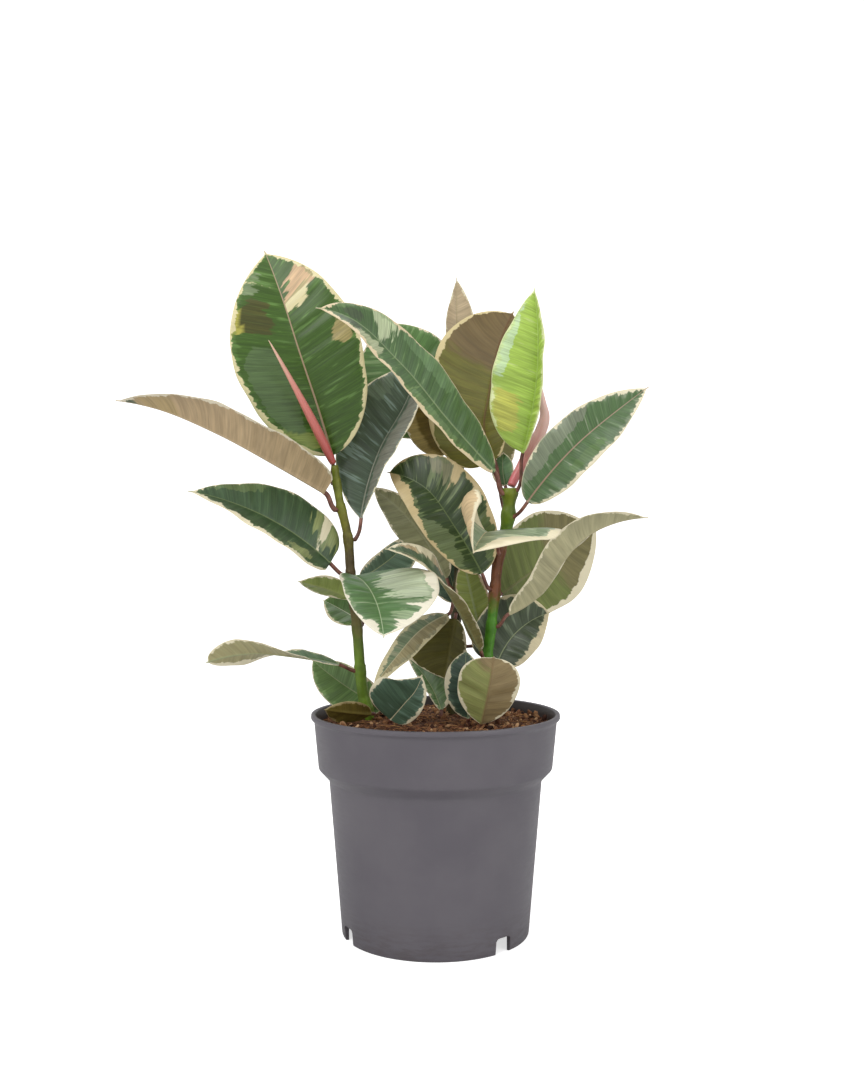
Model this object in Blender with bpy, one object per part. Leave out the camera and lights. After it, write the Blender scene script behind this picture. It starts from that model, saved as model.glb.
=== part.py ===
"""A young variegated rubber plant: three cuttings rooted in a 17 cm nursery pot.

Metres, +Z up, the floor at z = 0. The plant faces -Y. Sizes below are in millimetres.
"""

import math

import bmesh
import bpy
import numpy as np
from mathutils import Matrix, Vector

MM = 0.001

# ---- driving dimensions, in millimetres ----
POT_AXIS = (38.9, 0.0)  # where the pot's axis stands, so that the whole plant is centred on the origin
RIM_RADIUS = 85.0
POT_HEIGHT = 149.0
COLLAR_FOOT = 112.5  # height of the collar's lower edge
BASE_RADIUS = 63.8
WALL = 1.7
FLOOR_UNDERSIDE = 11.5
FLOOR_THICKNESS = 2.2
NOTCH_ANGLES = (-64.0, 43.0, 133.0, 205.0)  # drain notches in the foot ring
NOTCH_WIDTH = 13.0
NOTCH_HEIGHT = 10.5
DRAIN_HOLE_RADIUS = 4.5
DRAIN_HOLE_RING = 44.0
SOIL_LEVEL = 142.0
SOIL_CROWN = 1.2  # the soil stands this much higher in the middle
GAP = 0.35  # clearance between neighbouring pieces
FOOT_GAP = 0.55  # clearance between a leaf stalk and its stem

LEAF_THICKNESS = 1.1
MIDRIB_DEPTH = 1.3  # how far the midrib stands out of the underside
PETIOLE_RADIUS = 1.3
STALK_SPREAD = 0.5  # how much a leaf stalk leaves its stem sideways before it turns to the blade

# Each stem: (radius, points along its middle from the soil up).
STEMS = {
    "left": [(4.8, (-48, 14, 144.3)), (3.9, (-51, 13, 163)), (3.5, (-55, 12, 209)),
             (3.4, (-59, 12, 243)), (3.2, (-61, 12, 269)), (2.9, (-67, 11, 296)), (2.6, (-70, 10, 319))],
    "right": [(4.6, (34, 12, 144.3)), (3.7, (36, 11, 186)), (3.5, (39, 10, 209)), (3.6, (41, 10, 229)),
              (3.9, (44, 9, 256)), (4.3, (49, 8, 275)), (4.6, (51, 7, 303))],
    "back": [(4.2, (12, 36, 144.3)), (3.6, (14, 38, 190)), (3.4, (17, 42, 250)),
             (3.2, (18, 46, 300)), (2.8, (17, 50, 338))],
}

# Each leaf: its stem, the height of its node, its blade's middle line from base to tip, the ways that its
# upper face looks at the base, (middle) and tip, its two half widths at the widest place, how many degrees
# each half is raised from flat, how many more it curls by its margin, and where along the blade it is widest.
# Sharp and wedge say how early it narrows to its tip and to its base, stalk is its stalk's radius, and
# twisted is how many times its rows are halved where the blade turns over.
LEAVES = {
    "left_01": dict(stem="left", node=147, line=[(-44, -8, 149), (-58, -16, 151), (-74, -23, 154)],
        faces=[(0, 0.9, 0.6)], half=(9, 12), fold=8),
    "left_02": dict(stem="soil", foot=(-30, -16),
        line=[(-30, -19, 147), (-21, -25, 158), (-13, -29, 168), (-9, -30, 178)], faces=[(0.2, -1, 0.2)],
        half=(25, 12), fold=10, widest=0.42, sharp=0.6, wedge=-0.3),
    "left_03": dict(stem="left", node=152, line=[(-37, 23, 149), (-60, 27, 161), (-88, 30, 182)],
        faces=[(0, -1, 0.3)], half=(17, 14), fold=10),
    "left_04": dict(stem="left", node=176,
        line=[(-67, 6, 181), (-97, -6, 188), (-126, -8, 190), (-157, -4, 183)],
        faces=[(0.1, -0.3, 1), (0.05, -0.2, 1), (0, 0.3, 1), (0, 0.75, 0.7), (0, 0.9, 0.5)], half=(15, 15),
        fold=9, sharp=-0.4, twisted=2),
    "left_05": dict(stem="left", node=205, line=[(-52, 22, 209), (-64, 27, 216), (-80, 30, 224)],
        faces=[(0, -0.7, 0.7)], half=(14, 14), fold=12),
    "left_06": dict(stem="left", node=222, line=[(-58, 3, 227), (-75, -1, 234), (-93, -10, 239)],
        faces=[(0, 0.5, 0.8)], half=(13, 13), fold=10, sharp=0.4),
    "left_07": dict(stem="left", node=237,
        line=[(-55, 2, 242), (-44, -30, 235), (-36, -60, 222), (-32, -84, 207)],
        faces=[(0, 0.2, 1), (0, -0.4, 0.9)], half=(43, 21), fold=[(18, 16), (16, 16), (12, 16)],
        widest=0.5, sharp=-0.3),
    "left_08": dict(stem="left", node=236, line=[(-53, 20, 240), (-33, 40, 253), (-14, 56, 272)],
        faces=[(0.3, -1, 0.4)], half=(9, 16), fold=12),
    "left_09": dict(stem="left", node=242,
        line=[(-73, 6, 251), (-104, -4, 276), (-140, -12, 293), (-167, -14, 300)],
        faces=[(0.2, -0.65, 0.75)], half=(27, 28), fold=18, widest=0.34, sharp=0.6, wedge=-0.5, stalk=1.5),
    "left_10": dict(stem="left", node=267,
        line=[(-52, 16, 282), (-39, 28, 332), (-22, 32, 363), (-8, 34, 398)], faces=[(-0.6, -1, 0.3)],
        half=(36, 28), fold=30, widest=0.58, sharp=0.5, wedge=0.8, stalk=1.4),
    "left_11": dict(stem="left", node=288,
        line=[(-77, 8, 300), (-108, -2, 318), (-149, -6, 340), (-191, -4, 357), (-220, 2, 363)],
        faces=[(0.3, 0.25, 0.9), (0.3, 0.25, 0.9), (0.3, 0.2, 0.9), (0.3, -0.4, 0.8)], half=(26, 26),
        fold=34, widest=0.42, wedge=-0.7, stalk=1.8),
    "left_12": dict(stem="left", node=306,
        line=[(-72, 14, 326), (-81, 10, 357), (-94, 6, 397), (-107, 8, 437), (-120, 18, 470)],
        faces=[(0, -1, 0.2)], half=(46, 43), fold=10, sharp=0.3, wedge=0.15),
    "right_01": dict(stem="soil", foot=(30, -25), line=[(30, -28, 145.5), (34, -34, 165), (38, -40, 191)],
        faces=[(0, 1, 0.3)], half=(20, 21), fold=6, widest=0.58, sharp=-0.7, wedge=0.4),
    "right_02": dict(stem="soil", foot=(22, -12), line=[(22, -14, 147), (20, -15, 168), (21, -8, 192)],
        faces=[(0, -1, 0.2)], half=(14, 12), fold=8, wedge=0.4),
    "right_03": dict(stem="right", node=172, line=[(43, 17, 180), (58, 20.5, 203), (81, 22, 216)],
        faces=[(0, -1, 0.3)], half=(27, 19), fold=8, wedge=-0.6),
    "right_04": dict(stem="right", node=184,
        line=[(31, 2, 191), (15, -6, 221), (1, -13, 242), (-15, -18, 256), (-34, -21, 261)],
        faces=[(0.8, 0.5, 0.3), (0.7, 0.2, 0.6), (0.3, -0.3, 0.9), (0, -0.6, 0.8)], half=(14, 21), fold=12),
    "right_05": dict(stem="back", node=190, line=[(33, 25, 198), (26.5, 26, 224), (20, 30, 254)],
        faces=[(0, 1, 0.2)], half=(12, 11), fold=10),
    "right_06": dict(stem="right", node=207,
        line=[(51, 6, 216), (75, 2, 233), (87, -2, 252), (102, -8, 269), (126, -16, 280), (142, -22, 282)],
        faces=[(-0.5, 0.6, 0.6), (-0.5, 0.6, 0.6), (-0.3, 0.5, 0.8), (-0.1, 0.1, 1)], half=(20, 17),
        fold=30),
    "right_07": dict(stem="right", node=227, line=[(47, 27, 229), (76, 50, 248), (121, 67, 276)],
        faces=[(0, 1, 0.3)], half=(39, 36), fold=6, widest=0.54),
    "right_08": dict(stem="right", node=233,
        line=[(32, 3, 244), (14, 8, 275), (-8, 14, 304), (-34, 26, 315)], faces=[(0, -1, 0.2)],
        half=(22, 29.5), fold=12, widest=0.52, sharp=0.1),
    "right_09": dict(stem="right", node=258,
        line=[(42, -3.5, 264), (34, -31, 272), (28, -55, 267), (23, -84, 259)],
        faces=[(0.2, 0, 1), (0.27, 0, 0.96), (0.5, 0, 0.86), (0.55, 0, 0.84)], half=(50, 41),
        fold=[(14, 12), (17, 11), (33, 13), (42, 30)], curl=[(0, 60), (0, 165), (0, 170), (0, 60)]),
    "right_10": dict(stem="right", node=283,
        line=[(63, -2, 293), (93, -12, 329), (126, -20, 357), (142, -24, 369)],
        faces=[(-0.2, -0.95, 0.3)], half=(20, 20), fold=12, sharp=0.25, widest=0.45),
    "right_11": dict(stem="right", node=299,
        line=[(40, -2, 314), (10, -20, 345), (-23, -40, 382), (-58, -56, 410), (-76, -62, 414)],
        faces=[(0.5, -0.7, 0.5)], half=(20, 25), fold=12, stalk=1.7),
    "right_12": dict(stem="right", node=299, line=[(49, 17, 305), (47.5, 19, 314), (48, 22, 329)],
        faces=[(-0.2, -1, 0.2)], half=(8, 8), fold=10),
    "right_13": dict(stem="right", node=301,
        line=[(41, 18, 323), (34.5, 23, 347), (38, 29, 370), (46, 38, 408), (57, 47, 433)],
        faces=[(0.2, 1, 0.3)], half=(19, 45), fold=8, widest=0.56, sharp=-0.3, wedge=-0.3, stalk=1.5),
    "right_14": dict(stem="right", node=301, line=[(60, 2, 327), (68, -6, 369), (68, 4, 441)],
        faces=[(-0.8, -1, 0)], half=(31, 13), fold=36, widest=0.38, sharp=0.25),
    "right_15": dict(stem="right", node=285, line=[(45, 32, 317), (46, 38, 335), (50, 43, 354)],
        faces=[(0, 1, 0.3)], half=(12, 12), fold=8),
    "back_01": dict(stem="soil", foot=(4, 22), line=[(4, 23, 147), (-4, 34, 164), (-20, 48, 181)],
        faces=[(0, -1, 0.3)], half=(5, 14), fold=12),
    "back_02": dict(stem="back", node=214, line=[(14, 27, 211), (10, 20, 190), (6, 10, 170)],
        faces=[(0, 1, 0.3)], half=(30, 12), fold=8, widest=0.6),
    "back_03": dict(stem="back", node=226,
        line=[(8, 22, 214), (-10, 4, 205), (-28, -12, 186), (-42, -26, 169)], faces=[(0, -0.7, 0.8)],
        half=(12, 9), fold=12, widest=0.4, sharp=0.3),
    "back_04": dict(stem="back", node=215, line=[(14, 46, 221), (11, 50, 241), (1, 60, 261)],
        faces=[(0, -1, 0.3)], half=(16, 10), fold=10),
    "back_05": dict(stem="back", node=232, line=[(8, 38, 240), (-15, 30, 278), (-45, 27, 305)],
        faces=[(0.3, 0.8, 0.4)], half=(12, 20), fold=10),
    "back_06": dict(stem="back", node=322, line=[(11, 42, 331), (-2, 42, 349), (-8, 46, 394)],
        faces=[(0, 1, 0.3)], half=(20, 19), fold=10, widest=0.4),
    "back_07": dict(stem="back", node=328, line=[(12, 56, 349), (-15, 60, 389), (-42, 58, 427)],
        faces=[(0, -1, 0.2)], half=(50, 32), fold=8),
    "back_08": dict(stem="back", node=336, line=[(17, 62, 349), (16, 66, 408), (16, 70, 463)],
        faces=[(0.4, 1, 0)], half=(18, 20), fold=40),
}

# Each bud sheath: its middle line and its radii, spread evenly from foot to tip.
SHEATHS = {
    "left": dict(line=[(-71, 9, 320.2), (-89, -5, 358), (-112, -18, 401)],
                 radii=[2.5, 3.3, 3.4, 3.1, 2.6, 2.0, 1.5, 1.0, 0.25]),
    "right": dict(line=[(52.5, 8, 304.6), (55, 9.5, 310), (58.5, 11, 316), (66, 14, 330.5), (74, 18, 344),
                        (76.8, 20, 354), (75.6, 21, 363), (74, 21, 378)],
                  radii=[3.2, 3.4, 3.7, 4.1, 4.3, 4.1, 3.2, 2.0, 0.3]),
}


# ---- geometry of the growing parts, in millimetres ----
def unit(vector):
    return vector / np.linalg.norm(vector)


def smooth_path(points, shares):
    """Places at these shares of the length of a smooth curve through the points, with its ways there."""
    points = np.array(points, float)
    steps = np.linalg.norm(np.diff(points, axis=0), axis=1)
    knots = np.concatenate([[0.0], np.cumsum(steps)])
    slopes = np.gradient(points, knots, axis=0)
    slopes[0] = 2 * (points[1] - points[0]) / steps[0] - slopes[1]
    slopes[-1] = 2 * (points[-1] - points[-2]) / steps[-1] - slopes[-2]

    def place(at):
        piece = np.clip(np.searchsorted(knots, at, side="right") - 1, 0, len(steps) - 1)
        length = steps[piece][:, None]
        t = ((at - knots[piece]) / steps[piece])[:, None]
        first, last = points[piece], points[piece + 1]
        return ((2 * t**3 - 3 * t**2 + 1) * first + (3 * t**2 - 2 * t**3) * last
                + length * ((t**3 - 2 * t**2 + t) * slopes[piece] + (t**3 - t**2) * slopes[piece + 1]))

    fine = np.linspace(0, knots[-1], 200)
    run = np.concatenate([[0.0], np.cumsum(np.linalg.norm(np.diff(place(fine), axis=0), axis=1))])
    at = np.interp(np.asarray(shares) * run[-1], run, fine)
    ahead = place(np.minimum(at + 0.01, knots[-1])) - place(np.maximum(at - 0.01, 0))
    return place(at), ahead / np.linalg.norm(ahead, axis=1)[:, None]


def fullness(leaf, share):
    """Share of the half width at this share of the blade's length: a round base and a short drip tip."""
    widest = leaf.get("widest", 0.5)
    sharp = leaf.get("sharp", 0.15)  # 1 for a blade that narrows early to its tip, below 0 for a round one
    wedge = leaf.get("wedge", 0)  # 1 for a blade that narrows early to its base
    before = np.clip((widest - share) / widest, 0, 1)
    after = np.clip((share - widest) / (0.98 - widest), 0, 1)
    base = (1 - before ** (2.3 - 0.5 * wedge)) ** (0.52 + 0.4 * wedge)
    end = (1 - after ** (2.1 - 0.4 * sharp)) ** (0.75 + 0.45 * sharp)
    tail = 0.04 * np.clip((1 - share) / 0.04, 0, 1)
    return np.where(share < widest, base, np.maximum(end, tail))


def along(values, shares):
    """One value, or several spread evenly over the blade, read at these shares of its length."""
    values = np.atleast_2d(np.array(values, float).reshape(-1, np.size(values[0]) if np.ndim(values) else 1))
    marks = np.linspace(0, 1, len(values))
    return np.stack([np.interp(shares, marks, column) for column in values.T], axis=1)


def both_halves(values, shares):
    """A left and a right value at these shares of the blade, from one value, pairs, or a list of either."""
    return np.broadcast_to(along(values, shares), (len(shares), 2))


def stem_at(name, height):
    """The middle and the radius of a stem at this height."""
    rows = STEMS[name]
    heights = [point[2] for _, point in rows]
    middle = [np.interp(height, heights, [point[axis] for _, point in rows]) for axis in (0, 1)]
    return np.array([*middle, height]), np.interp(height, heights, [radius for radius, _ in rows])


def petiole_path(leaf, base, heading, count):
    """Places along the leaf stalk, from its foot on the stem to the blade's base."""
    if leaf["stem"] == "soil":
        foot = np.array([*leaf["foot"], SOIL_LEVEL + SOIL_CROWN + GAP])
        outward = np.array([0.0, 0.0, 1.0])
    else:
        middle, radius = stem_at(leaf["stem"], leaf["node"])
        outward = unit((base - middle) * (1, 1, 0))
        foot = middle + outward * (radius + FOOT_GAP)
        level = outward
        outward = unit(unit(base - foot) + STALK_SPREAD * level)
        foot += level * leaf.get("stalk", PETIOLE_RADIUS) * math.sqrt(1 - (outward @ level) ** 2)
    reach = np.linalg.norm(base - foot) / 2.6
    t = np.linspace(0, 1, count)[:, None]
    bend = [foot, foot + outward * reach, base - heading * reach, base]
    weights = [(1 - t) ** 3, 3 * t * (1 - t) ** 2, 3 * t**2 * (1 - t), t**3]
    ahead = [3 * (1 - t) ** 2, 6 * t * (1 - t), 3 * t**2]
    places = sum(weight * point for weight, point in zip(weights, bend))
    ways = sum(weight * (after - before) for weight, before, after in zip(ahead, bend, bend[1:]))
    return places, ways / np.linalg.norm(ways, axis=1)[:, None]


def blade_frame(leaf, shares):
    """The middle line of the blade, with its heading, its upper face's way and its right-hand way."""
    middle, heading = smooth_path(leaf["line"], shares)
    upward = along(leaf["faces"], shares)
    upward -= (upward * heading).sum(axis=1)[:, None] * heading
    upward /= np.linalg.norm(upward, axis=1)[:, None]
    return middle, heading, upward, np.cross(heading, upward)


def half_offset(reach, side, raised, curl, upward, right):
    """From the middle line to a place this far out on one half, and the upper face's way there.

    The half is raised by one angle at the middle line, and curls up by another, mostly towards its margin.
    """
    angle = np.radians(raised)
    more = np.radians(curl)
    steps = np.linspace(0.05, 0.95, 10)
    flat = sum(np.cos(angle + more * step**2) for step in steps) / len(steps) * reach
    lift = sum(np.sin(angle + more * step**2) for step in steps) / len(steps) * reach
    end = angle + more
    place = side * flat[:, None] * right + lift[:, None] * upward
    return place, np.cos(end)[:, None] * upward - side * np.sin(end)[:, None] * right


# ---- end of the geometry ----
def mesh_object(name, mesh, material, smooth_angle=60):
    mesh.shade_smooth()
    mesh.set_sharp_from_angle(angle=math.radians(smooth_angle))
    piece = bpy.data.objects.new(name, mesh)
    piece.data.materials.append(material)
    bpy.context.scene.collection.objects.link(piece)
    return piece


def material(name, colour, roughness):
    made = bpy.data.materials.new(name)
    made.use_nodes = True
    shader = made.node_tree.nodes["Principled BSDF"]
    shader.inputs["Base Color"].default_value = (*colour, 1)
    shader.inputs["Roughness"].default_value = roughness
    made.diffuse_color = (*colour, 1)
    return made


def lofted(name, rings):
    """A closed mesh through rings of places that all have the same count, with a fan at each end."""
    shape = bmesh.new()
    rows = [[shape.verts.new(Vector(place) * MM) for place in ring] for ring in rings]
    count = len(rows[0])
    for lower, upper in zip(rows, rows[1:]):
        for i in range(count):
            j = (i + 1) % count
            shape.faces.new((lower[i], lower[j], upper[j], upper[i]))
    shape.faces.new(list(reversed(rows[0])))
    shape.faces.new(rows[-1])
    bmesh.ops.recalc_face_normals(shape, faces=shape.faces)
    mesh = bpy.data.meshes.new(name)
    shape.to_mesh(mesh)
    shape.free()
    return mesh


def tube_rings(places, ways, radii, sides):
    """Round cross-sections along a path, each turned as little as possible from the one before."""
    rings = []
    across = unit(np.cross(ways[0], (0.31, 0.95, 0.05)))
    for place, way, radius in zip(places, ways, radii):
        across = unit(across - way * (across @ way))
        beside = np.cross(way, across)
        turns = [2 * math.pi * i / sides for i in range(sides)]
        rings.append([place + radius * (math.cos(a) * across + math.sin(a) * beside) for a in turns])
    return rings


def leaf_rings(leaf):
    """Eight-cornered cross-sections from the stalk's foot to the drip tip."""
    shares = np.array([0.0, 0.03, 0.10, 0.22, 0.36, 0.50, 0.64, 0.78, 0.90, 0.965, 1.0])
    for _ in range(leaf.get("twisted", 0)):
        # rows close enough that the two faces of a blade that turns over don't cross between them
        shares = np.sort(np.concatenate([shares, (shares[1:] + shares[:-1]) / 2]))
    middle, heading, upward, right = blade_frame(leaf, shares)
    full = fullness(leaf, shares)
    reach = np.maximum(full[:, None] * along([leaf["half"]], shares), 0.35)
    fold = both_halves(leaf["fold"], shares)
    curl = both_halves(leaf.get("curl", 0), shares)
    depth = MIDRIB_DEPTH * np.clip(1.15 - shares, 0.2, 1)
    half_thick = LEAF_THICKNESS / 2 * np.clip((1.1 - shares) * 5, 0.3, 1)

    def out(share_out, side):
        half = 0 if side < 0 else 1
        wide = reach[:, half] * share_out
        turn = curl[:, half] * share_out**2
        place, way = half_offset(wide, side, fold[:, half], turn, upward, right)
        return middle + place, way if share_out else upward

    corners = [out(1, -1)[0]]
    for share_out, side in ((0.5, -1), (0, 1), (0.5, 1)):
        place, way = out(share_out, side)
        corners.append(place + half_thick[:, None] * way)
    corners.append(out(1, 1)[0])
    for share_out, side in ((0.5, 1), (0, 1), (0.5, -1)):
        place, way = out(share_out, side)
        sink = half_thick + (depth if share_out == 0 else 0)
        corners.append(place - sink[:, None] * way)
    blade = [[corner[i] for corner in corners] for i in range(len(shares))]

    stalk, ways = petiole_path(leaf, middle[0], heading[0], 5)
    rings = []
    radius = leaf.get("stalk", PETIOLE_RADIUS)
    face = upward[0]
    for place, way in list(zip(stalk, ways))[::-1]:
        face = unit(face - way * (face @ way))
        beside = np.cross(way, face)
        turns = [math.pi - math.pi / 4 * i for i in range(8)]
        rings.append([place + radius * (math.cos(a) * beside + math.sin(a) * face) for a in turns])
    return rings[::-1] + blade[1:]


def turned(name, outline, segments):
    """A turned mesh from an outline of (radius, height) that ends on the axis, or where it started."""
    shape = bmesh.new()
    rows = []
    for radius, height in outline:
        if radius < 1e-6:
            rows.append([shape.verts.new((0, 0, height * MM))])
            continue
        turns = [2 * math.pi * i / segments for i in range(segments)]
        rows.append([shape.verts.new((radius * MM * math.cos(a), radius * MM * math.sin(a), height * MM))
                     for a in turns])
    for first, second in zip(rows, rows[1:]):
        for i in range(segments):
            j = (i + 1) % segments
            low = [first[i % len(first)], first[j % len(first)]]
            high = [second[j % len(second)], second[i % len(second)]]
            corners = list(dict.fromkeys(low + high))
            if len(corners) > 2:
                shape.faces.new(corners)
    bmesh.ops.recalc_face_normals(shape, faces=shape.faces)
    mesh = bpy.data.meshes.new(name)
    shape.to_mesh(mesh)
    shape.free()
    return mesh


# ---- the pot ----
def pot_outline():
    """The wall's outer face up, over the lip, and down its inner face to the middle of the floor."""
    foot_inside = BASE_RADIUS - WALL
    outer = [(foot_inside - 0.6, 0), (BASE_RADIUS - 0.8, 0), (BASE_RADIUS, 0.9), (BASE_RADIUS + 0.4, 5),
             (72.7, 104.8), (79.3, COLLAR_FOOT - 0.7), (79.8, COLLAR_FOOT), (82.8, 143.6), (84.0, 145.2),
             (RIM_RADIUS, 146.4), (RIM_RADIUS, 148.2), (84.4, POT_HEIGHT), (82.6, POT_HEIGHT), (81.9, 148.4)]
    inner = [(81.0, 143.0), (78.2, 114.4), (76.6, 112.0), (71.4, 106.4), (70.9, 104.0),
             (64.6, FLOOR_UNDERSIDE + FLOOR_THICKNESS + 2.2), (62.6, FLOOR_UNDERSIDE + FLOOR_THICKNESS)]
    floor_top = FLOOR_UNDERSIDE + FLOOR_THICKNESS
    floor = [(0, floor_top), (0, FLOOR_UNDERSIDE), (foot_inside - 0.3, FLOOR_UNDERSIDE)]
    return outer + inner + floor


def soil_outline():
    """The root ball fills the pot up to a low crown, clear of the wall and of the floor by the usual gap."""
    bottom = FLOOR_UNDERSIDE + FLOOR_THICKNESS + GAP
    wall = [(62.2, bottom), (64.4 - GAP, bottom + 2.4), (70.9 - GAP, 104.1), (71.4 - GAP, 106.6),
            (76.6 - GAP, 112.25), (78.2 - GAP, 114.6), (80.5 - GAP, SOIL_LEVEL - 0.6)]
    crown = [(74, SOIL_LEVEL), (50, SOIL_LEVEL + 0.7 * SOIL_CROWN), (0, SOIL_LEVEL + SOIL_CROWN)]
    return [(0, bottom)] + wall + crown


def join_outline_ends(mesh):
    """Joins the rings where a turned outline meets itself, and turns the faces outward."""
    shape = bmesh.new()
    shape.from_mesh(mesh)
    bmesh.ops.remove_doubles(shape, verts=shape.verts, dist=0.00001)
    bmesh.ops.recalc_face_normals(shape, faces=shape.faces)
    shape.to_mesh(mesh)
    shape.free()


def cutter(name, mesh, place, turn):
    tool = bpy.data.objects.new(name, mesh)
    bpy.context.scene.collection.objects.link(tool)
    tool.matrix_world = Matrix.Rotation(math.radians(turn), 4, "Z") @ Matrix.Translation(Vector(place) * MM)
    tool.hide_render = True
    tool.display_type = "WIRE"
    return tool


def notch_mesh():
    """A round-topped block, longer than the foot ring is thick."""
    top = NOTCH_HEIGHT - NOTCH_WIDTH / 5
    half = NOTCH_WIDTH / 2
    corner = NOTCH_WIDTH / 5
    arch = [(half, -1)]
    for turn in np.linspace(0, math.pi / 2, 4):
        arch.append((half - corner + corner * math.cos(turn), top + corner * math.sin(turn)))
    arch += [(-y, z) for y, z in reversed(arch)]
    return lofted("notch", [[(x, y, z) for y, z in arch] for x in (-6, 6)])


def make_pot(plastic):
    outline = pot_outline()
    pot = mesh_object("nursery_pot", turned("nursery_pot", outline + outline[:1], 72), plastic, 40)
    join_outline_ends(pot.data)
    notch = notch_mesh()
    hole = turned("drain_hole", [(0, 6), (DRAIN_HOLE_RADIUS, 6), (DRAIN_HOLE_RADIUS, 20), (0, 20)], 16)
    middle = (BASE_RADIUS - 1.5, 0, 0)
    tools = [cutter(f"notch_{i}", notch, middle, turn - 90) for i, turn in enumerate(NOTCH_ANGLES)]
    tools += [cutter(f"drain_{i}", hole, (DRAIN_HOLE_RING, 0, 0), 60 * i + 15) for i in range(6)]
    tools.append(cutter("drain_middle", hole, (0, 0, 0), 0))
    for tool in tools:
        cut = pot.modifiers.new(tool.name, "BOOLEAN")
        cut.operation = "DIFFERENCE"
        cut.object = tool
    return [pot] + tools


# ---- the plant ----
def make_stem(name, bark):
    rows = STEMS[name]
    count = 12
    places, ways = smooth_path([point for _, point in rows], np.linspace(0, 1, count))
    radii = np.interp(places[:, 2], [point[2] for _, point in rows], [radius for radius, _ in rows])
    ways[0] = (0, 0, 1)
    return mesh_object(f"stem_{name}", lofted(f"stem_{name}", tube_rings(places, ways, radii, 12)), bark)


def make_sheath(name, skin):
    sheath = SHEATHS[name]
    shares = np.array([0.0, 0.06, 0.2, 0.4, 0.6, 0.8, 0.93, 1.0])
    places, ways = smooth_path(sheath["line"], shares)
    radii = along(sheath["radii"], shares)[:, 0]
    full_name = f"bud_sheath_{name}"
    return mesh_object(full_name, lofted(full_name, tube_rings(places, ways, radii, 10)), skin)


def make_leaf(name, leaf_green):
    return mesh_object(f"leaf_{name}", lofted(f"leaf_{name}", leaf_rings(LEAVES[name])), leaf_green)


def main():
    for old in list(bpy.data.objects):
        bpy.data.objects.remove(old)
    plastic = material("grey_polypropylene", (0.14, 0.13, 0.14), 0.45)
    peat = material("peat_and_coir", (0.10, 0.04, 0.02), 0.95)
    bark = material("green_stem", (0.10, 0.13, 0.02), 0.5)
    skin = material("pink_bud_sheath", (0.72, 0.25, 0.22), 0.4)
    leaf_green = material("rubber_plant_leaf", (0.10, 0.22, 0.09), 0.35)
    stand = bpy.data.objects.new("potted_plant", None)
    bpy.context.scene.collection.objects.link(stand)
    pieces = make_pot(plastic)
    pieces.append(mesh_object("soil", turned("soil", soil_outline(), 48), peat))
    pieces += [make_stem(name, bark) for name in STEMS]
    pieces += [make_sheath(name, skin) for name in SHEATHS]
    pieces += [make_leaf(name, leaf_green) for name in LEAVES]
    for piece in pieces:
        piece.parent = stand
    stand.location = (POT_AXIS[0] * MM, POT_AXIS[1] * MM, 0)


main()
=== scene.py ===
import math

import bmesh
import bpy
import numpy as np
from mathutils import Matrix, Vector


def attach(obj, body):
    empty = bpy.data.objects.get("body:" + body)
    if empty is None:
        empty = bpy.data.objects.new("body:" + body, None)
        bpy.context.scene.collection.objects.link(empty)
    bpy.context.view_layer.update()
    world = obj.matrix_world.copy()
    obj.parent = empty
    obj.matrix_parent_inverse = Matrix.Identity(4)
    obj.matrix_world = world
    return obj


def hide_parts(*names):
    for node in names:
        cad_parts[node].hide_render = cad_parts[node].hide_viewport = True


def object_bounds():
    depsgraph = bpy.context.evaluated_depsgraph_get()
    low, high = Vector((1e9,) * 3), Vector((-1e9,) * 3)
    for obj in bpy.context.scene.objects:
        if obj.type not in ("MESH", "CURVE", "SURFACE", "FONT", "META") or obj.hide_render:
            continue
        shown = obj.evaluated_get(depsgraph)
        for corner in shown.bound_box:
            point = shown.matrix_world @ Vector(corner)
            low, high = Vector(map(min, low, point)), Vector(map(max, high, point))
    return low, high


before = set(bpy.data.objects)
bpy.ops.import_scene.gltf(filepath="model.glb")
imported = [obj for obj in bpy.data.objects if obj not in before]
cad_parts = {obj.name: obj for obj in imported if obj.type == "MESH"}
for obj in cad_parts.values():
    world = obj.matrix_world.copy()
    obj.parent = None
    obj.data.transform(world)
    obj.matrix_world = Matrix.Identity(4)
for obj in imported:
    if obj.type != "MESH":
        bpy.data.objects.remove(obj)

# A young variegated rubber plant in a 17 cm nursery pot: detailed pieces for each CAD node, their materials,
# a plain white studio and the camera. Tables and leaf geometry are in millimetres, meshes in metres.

MM = 0.001
CAD_LOW, CAD_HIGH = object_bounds()

# ---- driving dimensions, in millimetres, as the CAD part has them ----
POT_AXIS = (38.9, 0.0)
RIM_RADIUS = 85.0
POT_HEIGHT = 149.0
COLLAR_FOOT = 112.5
BASE_RADIUS = 63.8
WALL = 1.7
FLOOR_UNDERSIDE = 11.5
FLOOR_THICKNESS = 2.2
LIP_INSIDE = (81.9, 148.4)  # radius and height where the lip turns down inside
NOTCH_ANGLES = (-64.0, 43.0, 133.0, 205.0)
NOTCH_WIDTH = 13.0
NOTCH_HEIGHT = 10.5
DRAIN_HOLE_RADIUS = 4.5
DRAIN_HOLE_RING = 44.0
SOIL_LEVEL = 142.0
SOIL_CROWN = 1.2
GAP = 0.35
FOOT_GAP = 0.55
PETIOLE_RADIUS = 1.3
STALK_SPREAD = 0.5

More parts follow.
